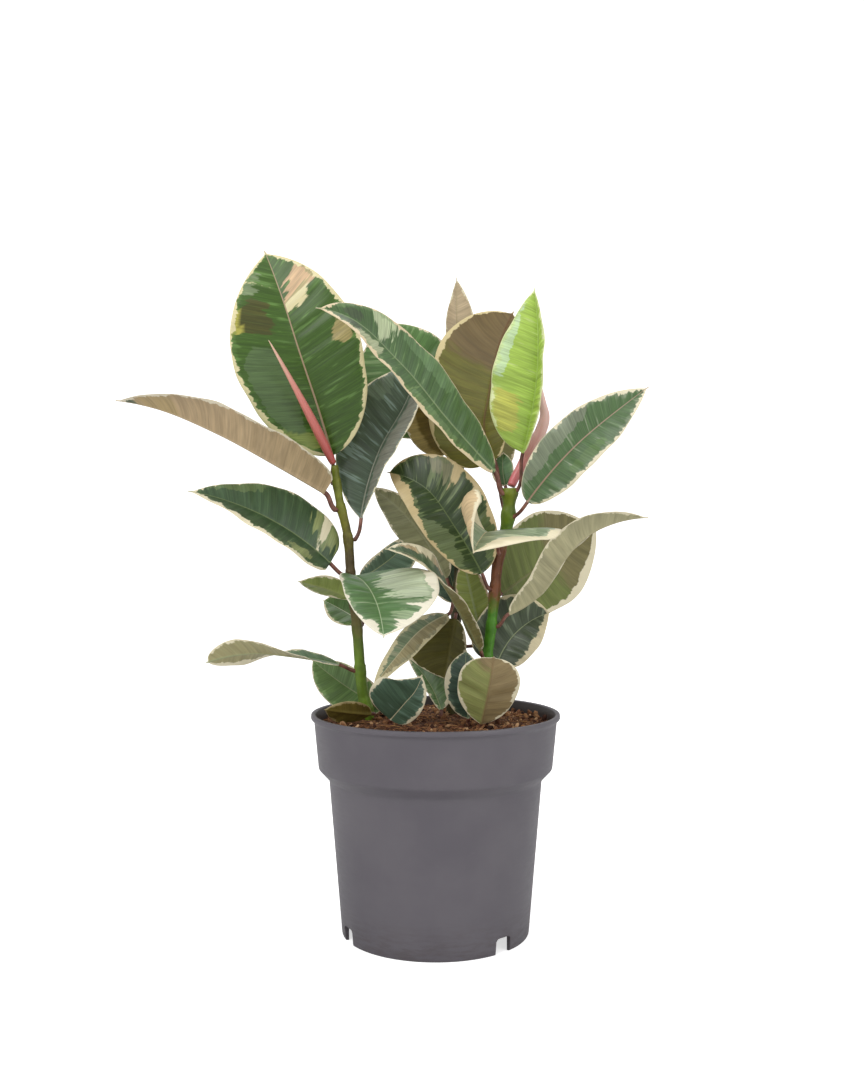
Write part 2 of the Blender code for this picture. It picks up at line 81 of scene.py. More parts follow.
# ---- finish of the pieces, in millimetres ----
BLADE_THICKNESS = 0.62
MARGIN_THICKNESS = 0.3
MARGIN_ROUNDING = 0.12  # how far the rounded edge stands past the last column of the blade
RIB_DEPTH = 1.15  # how far the midrib stands out of the underside at the blade's base
RIB_WIDTH = 1.25
GROOVE_DEPTH = 0.28  # the midrib's groove on the upper face
GROOVE_WIDTH = 1.1
RIB_COLUMNS = (0, 0.55, 1.1, 1.8, 2.8)  # how far out the close-set columns beside the midrib are
VEIN_SLANT = 0.36  # a side vein runs this far towards the tip for each millimetre outward
VEIN_SPACING = 5.5
VEIN_WIDTH = 0.55
QUILT_SPACING = 13.0
QUILT_DEPTH = 0.3
SPINE_FOLD = 1.25  # a living blade folds this much more by the midrib than the plain CAD blade
LEVELLING = 0.75  # and comes level again towards its margin by this share of the fold
BLADE_ROWS = 84
HALF_COLUMNS = 15
STALK_ROWS = 12
STEM_ROWS, STEM_SIDES = 130, 28
SHEATH_ROWS, SHEATH_SIDES = 70, 24
POT_SIDES = 300
SOIL_RINGS, SOIL_SIDES = 64, 220
CRUMBS = 900
FIBRES, FIBRE_SIDES = 150, 6

# What a leaf's points carry: how far out from the midrib, along the side veins and along the blade as a share
# they are, how far inside the margin, and how far inside cream and a patch of its own colour.
LEAF_VALUES = ("out", "vein", "run", "edge", "cream", "mark")
MARK_COLUMN = LEAF_VALUES.index("mark")
OUTSIDE = -99.0  # how far inside a patch a place is where there is no patch

# Each stem: (radius, points along its middle from the soil up).
STEMS = {
    "left": [(4.8, (-48, 14, 144.3)), (3.9, (-51, 13, 163)), (3.5, (-55, 12, 209)),
             (3.4, (-59, 12, 243)), (3.2, (-61, 12, 269)), (2.9, (-67, 11, 296)), (2.6, (-70, 10, 319))],
    "right": [(4.6, (34, 12, 144.3)), (3.7, (36, 11, 186)), (3.5, (39, 10, 209)), (3.6, (41, 10, 229)),
              (3.9, (44, 9, 256)), (4.3, (49, 8, 275)), (4.6, (51, 7, 303))],
    "back": [(4.2, (12, 36, 144.3)), (3.6, (14, 38, 190)), (3.4, (17, 42, 250)),
             (3.2, (18, 46, 300)), (2.8, (17, 50, 338))],
}

# Each leaf: its stem, the height of its node, its blade's middle line from base to tip, the ways that its
# upper face looks from base to tip, its two half widths at the widest place, how many degrees each half is
# raised from flat, how many more it curls by its margin, and where along the blade it is widest. Sharp and
# wedge say how early it narrows to its tip and to its base, and stalk is its stalk's radius.
LEAVES = {
    "left_01": dict(stem="left", node=147, line=[(-44, -8, 149), (-58, -16, 151), (-74, -23, 154)],
        faces=[(0, 0.9, 0.6)], half=(9, 12), fold=8),
    "left_02": dict(stem="soil", foot=(-30, -16),
        line=[(-30, -19, 147), (-21, -25, 158), (-13, -29, 168), (-9, -30, 178)], faces=[(0.2, -1, 0.2)],
        half=(25, 12), fold=10, widest=0.42, sharp=0.6, wedge=-0.3),
    "left_03": dict(stem="left", node=152, line=[(-37, 23, 149), (-60, 27, 161), (-88, 30, 182)],
        faces=[(0, -1, 0.3)], half=(17, 14), fold=10),
    "left_04": dict(stem="left", node=176,
        line=[(-67, 6, 181), (-97, -6, 188), (-126, -8, 190), (-157, -4, 183)],
        faces=[(0.1, -0.3, 1), (0.05, -0.2, 1), (0, 0.3, 1), (0, 0.75, 0.7), (0, 0.9, 0.5)], half=(15, 15),
        fold=9, sharp=-0.4),
    "left_05": dict(stem="left", node=205, line=[(-52, 22, 209), (-64, 27, 216), (-80, 30, 224)],
        faces=[(0, -0.7, 0.7)], half=(14, 14), fold=12),
    "left_06": dict(stem="left", node=222, line=[(-58, 3, 227), (-75, -1, 234), (-93, -10, 239)],
        faces=[(0, 0.5, 0.8)], half=(13, 13), fold=10, sharp=0.4),
    "left_07": dict(stem="left", node=237,
        line=[(-55, 2, 242), (-44, -30, 235), (-36, -60, 222), (-32, -84, 207)],
        faces=[(0, 0.2, 1), (0, -0.4, 0.9)], half=(43, 21), fold=[(18, 16), (16, 16), (12, 16)],
        widest=0.5, sharp=-0.3),
    "left_08": dict(stem="left", node=236, line=[(-53, 20, 240), (-33, 40, 253), (-14, 56, 272)],
        faces=[(0.3, -1, 0.4)], half=(9, 16), fold=12),
    "left_09": dict(stem="left", node=242,
        line=[(-73, 6, 251), (-104, -4, 276), (-140, -12, 293), (-167, -14, 300)],
        faces=[(0.2, -0.65, 0.75)], half=(27, 28), fold=18, widest=0.34, sharp=0.6, wedge=-0.5, stalk=1.5),
    "left_10": dict(stem="left", node=267,
        line=[(-52, 16, 282), (-39, 28, 332), (-22, 32, 363), (-8, 34, 398)], faces=[(-0.6, -1, 0.3)],
        half=(36, 28), fold=30, widest=0.58, sharp=0.5, wedge=0.8, stalk=1.4),
    "left_11": dict(stem="left", node=288,
        line=[(-77, 8, 300), (-108, -2, 318), (-149, -6, 340), (-191, -4, 357), (-220, 2, 363)],
        faces=[(0.3, 0.25, 0.9), (0.3, 0.25, 0.9), (0.3, 0.2, 0.9), (0.3, -0.4, 0.8)], half=(26, 26),
        fold=34, widest=0.42, wedge=-0.7, stalk=1.8),
    "left_12": dict(stem="left", node=306,
        line=[(-72, 14, 326), (-81, 10, 357), (-94, 6, 397), (-107, 8, 437), (-120, 18, 470)],
        faces=[(0, -1, 0.2)], half=(46, 43), fold=10, sharp=0.3, wedge=0.15),
    "right_01": dict(stem="soil", foot=(30, -25), line=[(30, -28, 145.5), (34, -34, 165), (38, -40, 191)],
        faces=[(0, 1, 0.3)], half=(20, 21), fold=6, widest=0.58, sharp=-0.7, wedge=0.4),
    "right_02": dict(stem="soil", foot=(22, -12), line=[(22, -14, 147), (20, -15, 168), (21, -8, 192)],
        faces=[(0, -1, 0.2)], half=(14, 12), fold=8, wedge=0.4),
    "right_03": dict(stem="right", node=172, line=[(43, 17, 180), (58, 20.5, 203), (81, 22, 216)],
        faces=[(0, -1, 0.3)], half=(27, 19), fold=8, wedge=-0.6),
    "right_04": dict(stem="right", node=184,
        line=[(31, 2, 191), (15, -6, 221), (1, -13, 242), (-15, -18, 256), (-34, -21, 261)],
        faces=[(0.8, 0.5, 0.3), (0.7, 0.2, 0.6), (0.3, -0.3, 0.9), (0, -0.6, 0.8)], half=(14, 21), fold=12),
    "right_05": dict(stem="back", node=190, line=[(33, 25, 198), (26.5, 26, 224), (20, 30, 254)],
        faces=[(0, 1, 0.2)], half=(12, 11), fold=10),
    "right_06": dict(stem="right", node=207,
        line=[(51, 6, 216), (75, 2, 233), (87, -2, 252), (102, -8, 269), (126, -16, 280), (142, -22, 282)],
        faces=[(-0.5, 0.6, 0.6), (-0.5, 0.6, 0.6), (-0.3, 0.5, 0.8), (-0.1, 0.1, 1)], half=(20, 17),
        fold=30),
    "right_07": dict(stem="right", node=227, line=[(47, 27, 229), (76, 50, 248), (121, 67, 276)],
        faces=[(0, 1, 0.3)], half=(39, 36), fold=6, widest=0.54),
    "right_08": dict(stem="right", node=233,
        line=[(32, 3, 244), (14, 8, 275), (-8, 14, 304), (-34, 26, 315)], faces=[(0, -1, 0.2)],
        half=(22, 29.5), fold=12, widest=0.52, sharp=0.1),
    "right_09": dict(stem="right", node=258,
        line=[(42, -3.5, 264), (34, -31, 272), (28, -55, 267), (23, -84, 259)],
        faces=[(0.2, 0, 1), (0.27, 0, 0.96), (0.5, 0, 0.86), (0.55, 0, 0.84)], half=(50, 41),
        fold=[(14, 12), (17, 11), (33, 13), (42, 30)], curl=[(0, 60), (0, 165), (0, 170), (0, 60)]),
    "right_10": dict(stem="right", node=283,
        line=[(63, -2, 293), (93, -12, 329), (126, -20, 357), (142, -24, 369)],
        faces=[(-0.2, -0.95, 0.3)], half=(20, 20), fold=12, sharp=0.25, widest=0.45),
    "right_11": dict(stem="right", node=299,
        line=[(40, -2, 314), (10, -20, 345), (-23, -40, 382), (-58, -56, 410), (-76, -62, 414)],
        faces=[(0.5, -0.7, 0.5)], half=(20, 25), fold=12, stalk=1.7),
    "right_12": dict(stem="right", node=299, line=[(49, 17, 305), (47.5, 19, 314), (48, 22, 329)],
        faces=[(-0.2, -1, 0.2)], half=(8, 8), fold=10),
    "right_13": dict(stem="right", node=301,
        line=[(41, 18, 323), (34.5, 23, 347), (38, 29, 370), (46, 38, 408), (57, 47, 433)],
        faces=[(0.2, 1, 0.3)], half=(19, 45), fold=8, widest=0.56, sharp=-0.3, wedge=-0.3, stalk=1.5),
    "right_14": dict(stem="right", node=301, line=[(60, 2, 327), (68, -6, 369), (68, 4, 441)],
        faces=[(-0.8, -1, 0)], half=(31, 13), fold=36, widest=0.38, sharp=0.25),
    "right_15": dict(stem="right", node=285, line=[(45, 32, 317), (46, 38, 335), (50, 43, 354)],
        faces=[(0, 1, 0.3)], half=(12, 12), fold=8),
    "back_01": dict(stem="soil", foot=(4, 22), line=[(4, 23, 147), (-4, 34, 164), (-20, 48, 181)],
        faces=[(0, -1, 0.3)], half=(5, 14), fold=12),
    "back_02": dict(stem="back", node=214, line=[(14, 27, 211), (10, 20, 190), (6, 10, 170)],
        faces=[(0, 1, 0.3)], half=(30, 12), fold=8, widest=0.6),
    "back_03": dict(stem="back", node=226,
        line=[(8, 22, 214), (-10, 4, 205), (-28, -12, 186), (-42, -26, 169)], faces=[(0, -0.7, 0.8)],
        half=(12, 9), fold=12, widest=0.4, sharp=0.3),
    "back_04": dict(stem="back", node=215, line=[(14, 46, 221), (11, 50, 241), (1, 60, 261)],
        faces=[(0, -1, 0.3)], half=(16, 10), fold=10),
    "back_05": dict(stem="back", node=232, line=[(8, 38, 240), (-15, 30, 278), (-45, 27, 305)],
        faces=[(0.3, 0.8, 0.4)], half=(12, 20), fold=10),
    "back_06": dict(stem="back", node=322, line=[(11, 42, 331), (-2, 42, 349), (-8, 46, 394)],
        faces=[(0, 1, 0.3)], half=(20, 19), fold=10, widest=0.4),
    "back_07": dict(stem="back", node=328, line=[(12, 56, 349), (-15, 60, 389), (-42, 58, 427)],
        faces=[(0, -1, 0.2)], half=(50, 32), fold=8),
    "back_08": dict(stem="back", node=336, line=[(17, 62, 349), (16, 66, 408), (16, 70, 463)],
        faces=[(0.4, 1, 0)], half=(18, 20), fold=40),
}

# Each bud sheath: its middle line, its radii, spread evenly from foot to tip, and its colours the same way.
SHEATHS = {
    "left": dict(line=[(-71, 9, 320.2), (-89, -5, 358), (-112, -18, 401)],
                 radii=[2.5, 3.3, 3.4, 3.1, 2.6, 2.0, 1.5, 1.0, 0.25],
                 tones=("C65F5C", "E08A80", "F0C9B0")),
    "right": dict(line=[(52.5, 8, 304.6), (55, 9.5, 310), (58.5, 11, 316), (66, 14, 330.5), (74, 18, 344),
                        (76.8, 20, 354), (75.6, 21, 363), (74, 21, 378)],
                  radii=[3.2, 3.4, 3.7, 4.1, 4.3, 4.1, 3.2, 2.0, 0.3],
                  tones=("D8787A", "F0C4B8", "F4D4C8")),
}

# Each stem's bark: (height, colour there).
BARKS = {
    "left": [(144, "6E8E22"), (188, "688426"), (208, "625E2A"), (226, "524224"), (258, "54482A"),
             (280, "747222"), (300, "767C2A")],
    "right": [(144, "4F8A1E"), (214, "4F8A20"), (230, "744527"), (262, "6E4026"), (274, "5A7A1C"),
              (300, "6E7A1C")],
    "back": [(144, "545430"), (250, "4A4528"), (338, "58622A")],
}

# The colours of each leaf, and where its green gives way. "left" and "right" are how wide the cream margin is
# on each half, in millimetres, at places spread evenly from base to tip. "cream" lists more patches of cream
# as (side, start, end, inner, outer): side -1 or 1, or 0 for both, then shares of the length and of the half
# width. "marks" lists patches in a colour of their own, or of painted sheen, the same way, and "marks_on"
# says which face shows them. "mottle" is how readily the second green breaks through, in millimetres of
# reach.
COATS = {
    "left_01": dict(under="74682E", cream_edge="B8A878", rib="70642C", left=[1, 1.5, 1]),
    "left_02": dict(green="4C6450", second="647E6C", rib="D8CDA8", mottle=-3, left=[1, 1.5, 2],
        right=[1, 1.5, 1.5]),
    "left_03": dict(green="68864E", second="8CAA70"),
    "left_04": dict(green="4A6A3C", second="8A9A68", under="A29B70", left=[1, 1.5, 2, 2],
        right=[1.5, 3, 5, 3]),
    "left_05": dict(green="5A7A44", second="8CA76A", rib="D8DCC0", left=[1, 1, 1.5], right=[1.5, 1, 1.5]),
    "left_06": dict(under="8C9A52", rib="9AA068", left=[1, 1, 2], right=[1, 2, 2]),
    "left_07": dict(green="4F7340", second="8A9C78", cream_edge="E9E3CD", rib="A9B890", mottle=-4,
        left=[1, 2, 3, 7, 5, 6, 4], right=[1, 1.5, 1, 1.5, 2],
        cream=[(1, 0.8, 0.95, 0.3, 1), (-1, 0.6, 0.66, 0.6, 1), (-1, 0.8, 0.86, 0.4, 1)],
        marks=[(-1, 0.12, 0.62, 0.15, 1, "B4C0A0"), (-1, 0.7, 0.8, 0.45, 1, "8EA27A")]),
    "left_08": dict(green="5B735F", second="8A9C86"),
    "left_09": dict(green="3E5636", second="647A54", rib="7E8E60", mottle=-5, left=[2, 3, 3, 3, 3, 3],
        right=[0.4, 0.4, 0.6, 1], cream=[(1, 0.1, 0.14, 0.25, 1)],
        marks=[(1, -0.02, 0.2, 0.2, 1, "8C9660"), (-1, 0.1, 0.3, 0.5, 0.9, "8C9660"),
               (1, 0.5, 0.9, 0.6, 1, "5E7248")]),
    # left_10's grey mark over its right half is painted sheen, and its paler second green is partly painted
    # sheen
    "left_10": dict(green="4E5E4A", second="728478", rib="9A9A88", mottle=-2.5, left=[0.8, 0.8, 1.5, 1, 1],
        right=[0.6, 0.6, 1, 1, 1],
        marks=[(1, 0.0, 0.96, 0.25, 1, "7C7C6E"), (-1, 0.55, 0.8, 0.5, 1, "5F7058")]),
    "left_11": dict(green="5F8A45", second="7FA05F", under="B8A07C", cream_edge="E6DCC2", rib="C4AE8C",
        marks_on="under", left=[1, 1, 2, 2, 3], right=[1, 1.5, 2, 2, 3],
        marks=[(0, 0.7, 0.88, 0, 1, "B09A6E"), (0, 0.9, 1.2, 0, 1, "4C5E46"),
               (1, -0.1, 0.3, 0, 1, "B0A088")]),
    "left_12": dict(green="41601E", second="5C7E3C", cream_edge="E4D9A8", rib="B89C80", mottle=-3,
        left=[6, 4.5, 2, 2, 2, 2.5], right=[1.5, 2.5, 2, 2.5, 2, 3],
        cream=[(1, 0.66, 0.7, 0.0, 0.5), (-1, 0.77, 0.8, 0.45, 1)],
        # left_12's first mark, a paler grey-green over its left half, is painted sheen: a soft reflection of
        # the light
        marks=[(-1, 0.1, 0.5, 0.3, 0.85, "566E42"), (-1, 0.52, 0.64, 0.82, 1, "B4AE50"),
               (-1, 0.56, 0.72, 0.3, 0.86, "4C4E20"), (1, 0.7, 0.8, 0.1, 1, "D0AE84"),
               (-1, 0.72, 0.84, 0.5, 1, "7E9068"), (1, 0.4, 0.5, 0.6, 0.95, "A89A64"),
               (-1, 0.02, 0.12, 0.2, 1, "8A9A4E")]),
    "right_01": dict(under="92805A", rib="8A7450", marks_on="under", left=[1.5], right=[1.5],
        marks=[(1, -0.1, 0.8, 0.0, 1, "8F9458")]),
    "right_02": dict(green="425648", second="667E66"),
    "right_03": dict(green="4A5640", second="6C7860", cream_edge="DCD0AC", mottle=-3, left=[1, 2, 3],
        right=[2, 5, 6]),
    "right_04": dict(green="52664A", second="8A9478", under="928A58", left=[1, 1, 2, 2],
        right=[1.5, 2, 2, 2], cream=[(0, 0.62, 0.74, 0.4, 1)], marks=[(0, 0.48, 0.95, 0.45, 1, "C2AC84")]),
    "right_05": dict(under="8A964C", cream_edge="D2BC9C"),
    "right_06": dict(green="6E8A5C", under="AEA984", rib="B6AE8A", left=[1, 1.5, 1], right=[1, 1.5, 1]),
    "right_07": dict(under="727D40", rib="8A8458", marks_on="under", left=[1, 2, 5, 9, 7],
        right=[1, 1.5, 2, 3, 4], marks=[(0, 0.5, 1.1, 0, 1, "7C754A")]),
    "right_08": dict(green="324420", second="647348", cream_edge="CDB98A", rib="5A6A3C", mottle=-2.5,
        left=[2, 2.5, 3, 6, 10, 7], right=[1.5, 2.5, 2.5, 1.5, 2],
        cream=[(1, 0.52, 0.56, 0.6, 1), (1, 0.4, 0.43, 0.7, 1)],
        marks=[(1, 0.55, 0.68, 0.5, 1, "7C7C5C"), (-1, 0.05, 0.5, 0.3, 1, "64724C"),
               (-1, 0.55, 0.8, 0.5, 0.8, "6E7850"), (1, 0.0, 0.3, 0.5, 1, "5A6A3C"),
               (1, 0.3, 0.42, 0.5, 0.9, "46562C")]),
    "right_09": dict(green="8C9C7C", second="B4BC9C", under="E8D9B0", cream_edge="E8DDBC", rib="DCC9A0",
        mottle=-2, marks_on="both", left=[3, 4, 6, 8, 6], right=[2, 3, 3, 3],
        cream=[(-1, 0.55, 1.1, 0.3, 1), (1, -0.1, 0.16, 0.3, 1)],
        marks=[(1, 0.1, 1.1, 0.3, 1, "D2B88E"), (-1, 0.05, 0.4, 0.1, 0.6, "5A6C4C"),
               (-1, 0.3, 0.5, 0.7, 0.9, "7C8C6C")]),
    # right_10's first mark, greyish over its upper-left half, is painted sheen
    "right_10": dict(green="557146", second="849074", rib="B08C78", mottle=-3, left=[0.3, 0.3, 0.5, 1.5, 2],
        right=[1.5, 2, 2, 2], cream=[(-1, 0.78, 0.86, 0.6, 1)],
        marks=[(-1, 0.0, 0.6, 0.4, 1, "7D876F"), (1, 0.3, 0.6, 0.4, 0.8, "5E7A48")]),
    "right_11": dict(green="4A663A", second="6E8656", cream_edge="E0CDA8", rib="8A9A70", mottle=-4,
        left=[3, 2.5, 2.5, 2, 2.5], right=[0.3, 0.3, 0.3, 0.6, 2], cream=[(-1, 0.02, 0.1, 0.55, 1)],
        marks=[(1, 0.66, 0.76, 0.2, 1, "B4C098"), (-1, 0.66, 0.8, 0.25, 1, "A8B08A"),
               (0, 0.8, 0.9, 0.1, 0.7, "46563A"), (-1, 0.2, 0.5, 0.4, 0.9, "647E52"),
               (1, 0.3, 0.6, 0.5, 1, "5F7C50")]),
    "right_12": dict(green="4E7440", second="668450", under="5A6A40", left=[1.5], right=[0.5]),
    "right_13": dict(under="6C6A24", cream_edge="DCCB98", rib="6A4A2A", marks_on="under",
        left=[1, 1.5, 1.5], right=[1, 2, 4, 3, 1.5],
        marks=[(0, 0.58, 1.1, 0, 1, "705E38"), (1, 0.1, 0.4, 0.5, 1, "787A40")]),
    "right_14": dict(green="A6C454", second="BAD078", cream_edge="DCE4A8", rib="A8C464", mottle=-4,
        left=[1, 1.2, 1.2, 1], right=[0.8, 1, 1, 1],
        marks=[(-1, 0.36, 0.88, 0.64, 1, "BCD6A2"), (-1, 0.06, 0.3, 0.3, 1, "BCBE58")]),
    "right_15": dict(under="8A8A54", rib="7A7A4C", left=[0.8], right=[0.8]),
    "back_01": dict(green="5F7F48", second="8FA37C", right=[2, 3, 3]),
    "back_02": dict(under="5E5A24", rib="6E6834", left=[1, 1, 2], right=[1, 2, 2]),
    "back_03": dict(green="7C8C70", second="94987E", cream_edge="D8CFA8", rib="CFC8A4", mottle=-2,
        left=[1, 2, 2, 2], right=[1.5, 2, 1.5], marks=[(-1, -0.1, 1.1, 0.0, 1, "A89E78")]),
    "back_04": dict(green="4E6350", second="76886F"),
    "back_05": dict(under="90906A", rib="A0A07C"),
    "back_06": dict(under="7A682C", rib="8A743C", marks_on="under", left=[1, 1, 2], right=[1, 1, 2],
        marks=[(1, 0.0, 0.6, 0.5, 1, "B8A468")]),
    "back_07": dict(green="5E8446", second="82A068", mottle=-3, left=[1, 1, 1, 1.5], right=[1, 1, 1.5, 1]),
    "back_08": dict(green="7CA65E", under="C2AE8C", rib="B0A07C"),
}
PLAIN_COAT = dict(green="3B5C3E", second="6A8A66", under="94875F", cream_edge="E9E0C0", rib="9CA67C",
                  mottle=-7, marks_on="upper", left=[1], right=[1], cream=(), marks=())


# ---- geometry of the growing parts, in millimetres ----
def unit(vector):
    """The same way, one long."""
    return vector / np.linalg.norm(vector)


def smooth_path(points, shares):
    """Places at these shares of the length of a smooth curve through the points, with its ways there."""
    points = np.array(points, float)
    steps = np.linalg.norm(np.diff(points, axis=0), axis=1)
    knots = np.concatenate([[0.0], np.cumsum(steps)])
    slopes = np.gradient(points, knots, axis=0)
    slopes[0] = 2 * (points[1] - points[0]) / steps[0] - slopes[1]
    slopes[-1] = 2 * (points[-1] - points[-2]) / steps[-1] - slopes[-2]

    def place(at):
        piece = np.clip(np.searchsorted(knots, at, side="right") - 1, 0, len(steps) - 1)
        length = steps[piece][:, None]
        t = ((at - knots[piece]) / steps[piece])[:, None]
        first, last = points[piece], points[piece + 1]
        return ((2 * t**3 - 3 * t**2 + 1) * first + (3 * t**2 - 2 * t**3) * last
                + length * ((t**3 - 2 * t**2 + t) * slopes[piece] + (t**3 - t**2) * slopes[piece + 1]))

    fine = np.linspace(0, knots[-1], 200)
    run = np.concatenate([[0.0], np.cumsum(np.linalg.norm(np.diff(place(fine), axis=0), axis=1))])
    at = np.interp(np.asarray(shares) * run[-1], run, fine)
    ahead = place(np.minimum(at + 0.01, knots[-1])) - place(np.maximum(at - 0.01, 0))
    return place(at), ahead / np.linalg.norm(ahead, axis=1)[:, None]


def fullness(leaf, share):
    """Share of the half width at this share of the blade's length: a round base and a short drip tip."""
    widest = leaf.get("widest", 0.5)
    sharp = leaf.get("sharp", 0.15)  # 1 for a blade that narrows early to its tip, below 0 for a round one
    wedge = leaf.get("wedge", 0)  # 1 for a blade that narrows early to its base
    before = np.clip((widest - share) / widest, 0, 1)
    after = np.clip((share - widest) / (0.98 - widest), 0, 1)
    base = (1 - before ** (2.3 - 0.5 * wedge)) ** (0.52 + 0.4 * wedge)
    end = (1 - after ** (2.1 - 0.4 * sharp)) ** (0.75 + 0.45 * sharp)
    tail = 0.04 * np.clip((1 - share) / 0.04, 0, 1)
    return np.where(share < widest, base, np.maximum(end, tail))


def along(values, shares):
    """One value, or several spread evenly over the blade, read at these shares of its length."""
    values = np.atleast_2d(np.array(values, float).reshape(-1, np.size(values[0]) if np.ndim(values) else 1))
    marks = np.linspace(0, 1, len(values))
    return np.stack([np.interp(shares, marks, column) for column in values.T], axis=1)


def both_halves(values, shares):
    """A left and a right value at these shares of the blade, from one value, pairs, or a list of either."""
    return np.broadcast_to(along(values, shares), (len(shares), 2))


def stem_at(name, height):
    """The middle and the radius of a stem at this height."""
    rows = STEMS[name]
    heights = [point[2] for _, point in rows]
    middle = [np.interp(height, heights, [point[axis] for _, point in rows]) for axis in (0, 1)]
    return np.array([*middle, height]), np.interp(height, heights, [radius for radius, _ in rows])


def petiole_path(leaf, base, heading, count):
    """Places along the leaf stalk, from its foot on the stem to the blade's base."""
    if leaf["stem"] == "soil":
        foot = np.array([*leaf["foot"], SOIL_LEVEL + SOIL_CROWN + GAP])
        outward = np.array([0.0, 0.0, 1.0])
    else:
        middle, radius = stem_at(leaf["stem"], leaf["node"])
        outward = unit((base - middle) * (1, 1, 0))
        foot = middle + outward * (radius + FOOT_GAP)
        level = outward
        outward = unit(unit(base - foot) + STALK_SPREAD * level)
        foot += level * leaf.get("stalk", PETIOLE_RADIUS) * math.sqrt(1 - (outward @ level) ** 2)
    reach = np.linalg.norm(base - foot) / 2.6
    t = np.linspace(0, 1, count)[:, None]
    bend = [foot, foot + outward * reach, base - heading * reach, base]
    weights = [(1 - t) ** 3, 3 * t * (1 - t) ** 2, 3 * t**2 * (1 - t), t**3]
    ahead = [3 * (1 - t) ** 2, 6 * t * (1 - t), 3 * t**2]
    places = sum(weight * point for weight, point in zip(weights, bend))
    ways = sum(weight * (after - before) for weight, before, after in zip(ahead, bend, bend[1:]))
    return places, ways / np.linalg.norm(ways, axis=1)[:, None]


def blade_frame(leaf, shares):
    """The middle line of the blade, with its heading, its upper face's way and its right-hand way."""
    middle, heading = smooth_path(leaf["line"], shares)
    upward = along(leaf["faces"], shares)
    upward -= (upward * heading).sum(axis=1)[:, None] * heading
    upward /= np.linalg.norm(upward, axis=1)[:, None]
    return middle, heading, upward, np.cross(heading, upward)


def half_offset(reach, side, raised, curl, upward, right):
    """From the middle line to a place this far out on one half, and the upper face's way there.

    The half is raised by one angle at the middle line, and curls up by another, mostly towards its margin.
    """
    angle = np.radians(raised)
    more = np.radians(curl)
    steps = np.linspace(0.05, 0.95, 10)
    flat = sum(np.cos(angle + more * step**2) for step in steps) / len(steps) * reach
    lift = sum(np.sin(angle + more * step**2) for step in steps) / len(steps) * reach
    end = angle + more
    place = side * flat[:, None] * right + lift[:, None] * upward
    return place, np.cos(end)[:, None] * upward - side * np.sin(end)[:, None] * right


# ---- materials ----
# Sockets of a colour mix: how much of the upper colour shows, the lower one, the upper one, and the result.
SHOWN, BELOW, ABOVE = 0, 6, 7
MIXED = 2


def linear(hex_colour):
    """An sRGB hex colour as linear red, green and blue, with full alpha."""
    shares = [int(hex_colour[i:i + 2], 16) / 255 for i in (0, 2, 4)]
    return (*[s / 12.92 if s <= 0.04045 else ((s + 0.055) / 1.055) ** 2.4 for s in shares], 1.0)


def add(tree, kind, inputs=(), output=0, **settings):
    """Adds a shader node with its settings and links, and gives one of its outputs.

    Each input is a value, or an output that it is linked from; None is left alone.
    """
    made = tree.nodes.new("ShaderNode" + kind)
    for key, value in settings.items():
        setattr(made, key, value)
    for key, value in inputs.items() if isinstance(inputs, dict) else enumerate(inputs):
        if isinstance(value, bpy.types.NodeSocket):
            tree.links.new(value, made.inputs[key])
        elif value is not None:
            made.inputs[key].default_value = value
    return made.outputs[output]


def new_material(name, roughness, ior, **more):
    """A material with these values on its own shader's sockets, its node tree, and the shader."""
    material = bpy.data.materials.new(name)
    material.use_nodes = True
    shader = material.node_tree.nodes["Principled BSDF"]
    for key, value in dict(Roughness=roughness, IOR=ior, **more).items():
        shader.inputs[key.replace("_", " ")].default_value = value
    return material, material.node_tree, shader


def finished(tree, shader, colour, relief, strength, depth):
    """Gives a shader its colour, and a fine relief this many millimetres deep."""
    tree.links.new(colour, shader.inputs["Base Color"])
    bump = add(tree, "Bump", {"Strength": strength, "Distance": depth * MM, "Height": relief})
    tree.links.new(bump, shader.inputs["Normal"])


def set_ramp(output, stops):
    """Sets the colours of a colour ramp, as (place, sRGB hex)."""
    elements = output.node.color_ramp.elements
    while len(elements) < len(stops):
        elements.new(0.5)
    for element, (place, tone) in zip(elements, stops):
        element.position = place
        element.color = linear(tone)


def grain(size):
    """The scale of a noise whose spots are this many millimetres across."""
    return 1 / (size * MM)


def cell_noise(tree, vein, out, seed, across, along_vein, detail):
    """Noise whose spots are this many millimetres across the side veins, and this many along them."""
    place = add(tree, "CombineXYZ", (
        add(tree, "Math", (vein, 1 / across), operation="MULTIPLY"),
        add(tree, "Math", (out, 1 / along_vein), operation="MULTIPLY"),
        add(tree, "Math", (seed, across * 7), operation="ADD")))
    return add(tree, "TexNoise", {"Vector": place, "Scale": 1.0, "Detail": detail, "Roughness": 0.6},
               noise_dimensions="3D")


def ragged_patch(tree, field, noise, reach, soft):
    """1 where a field in millimetres, pushed about by the noise, is above 0."""
    off = add(tree, "Math", (noise, 0.5), operation="SUBTRACT")
    pushed = add(tree, "Math", (off, reach * 2, field), operation="MULTIPLY_ADD")
    return add(tree, "MapRange", (pushed, -soft, soft, 0.0, 1.0), interpolation_type="SMOOTHSTEP")


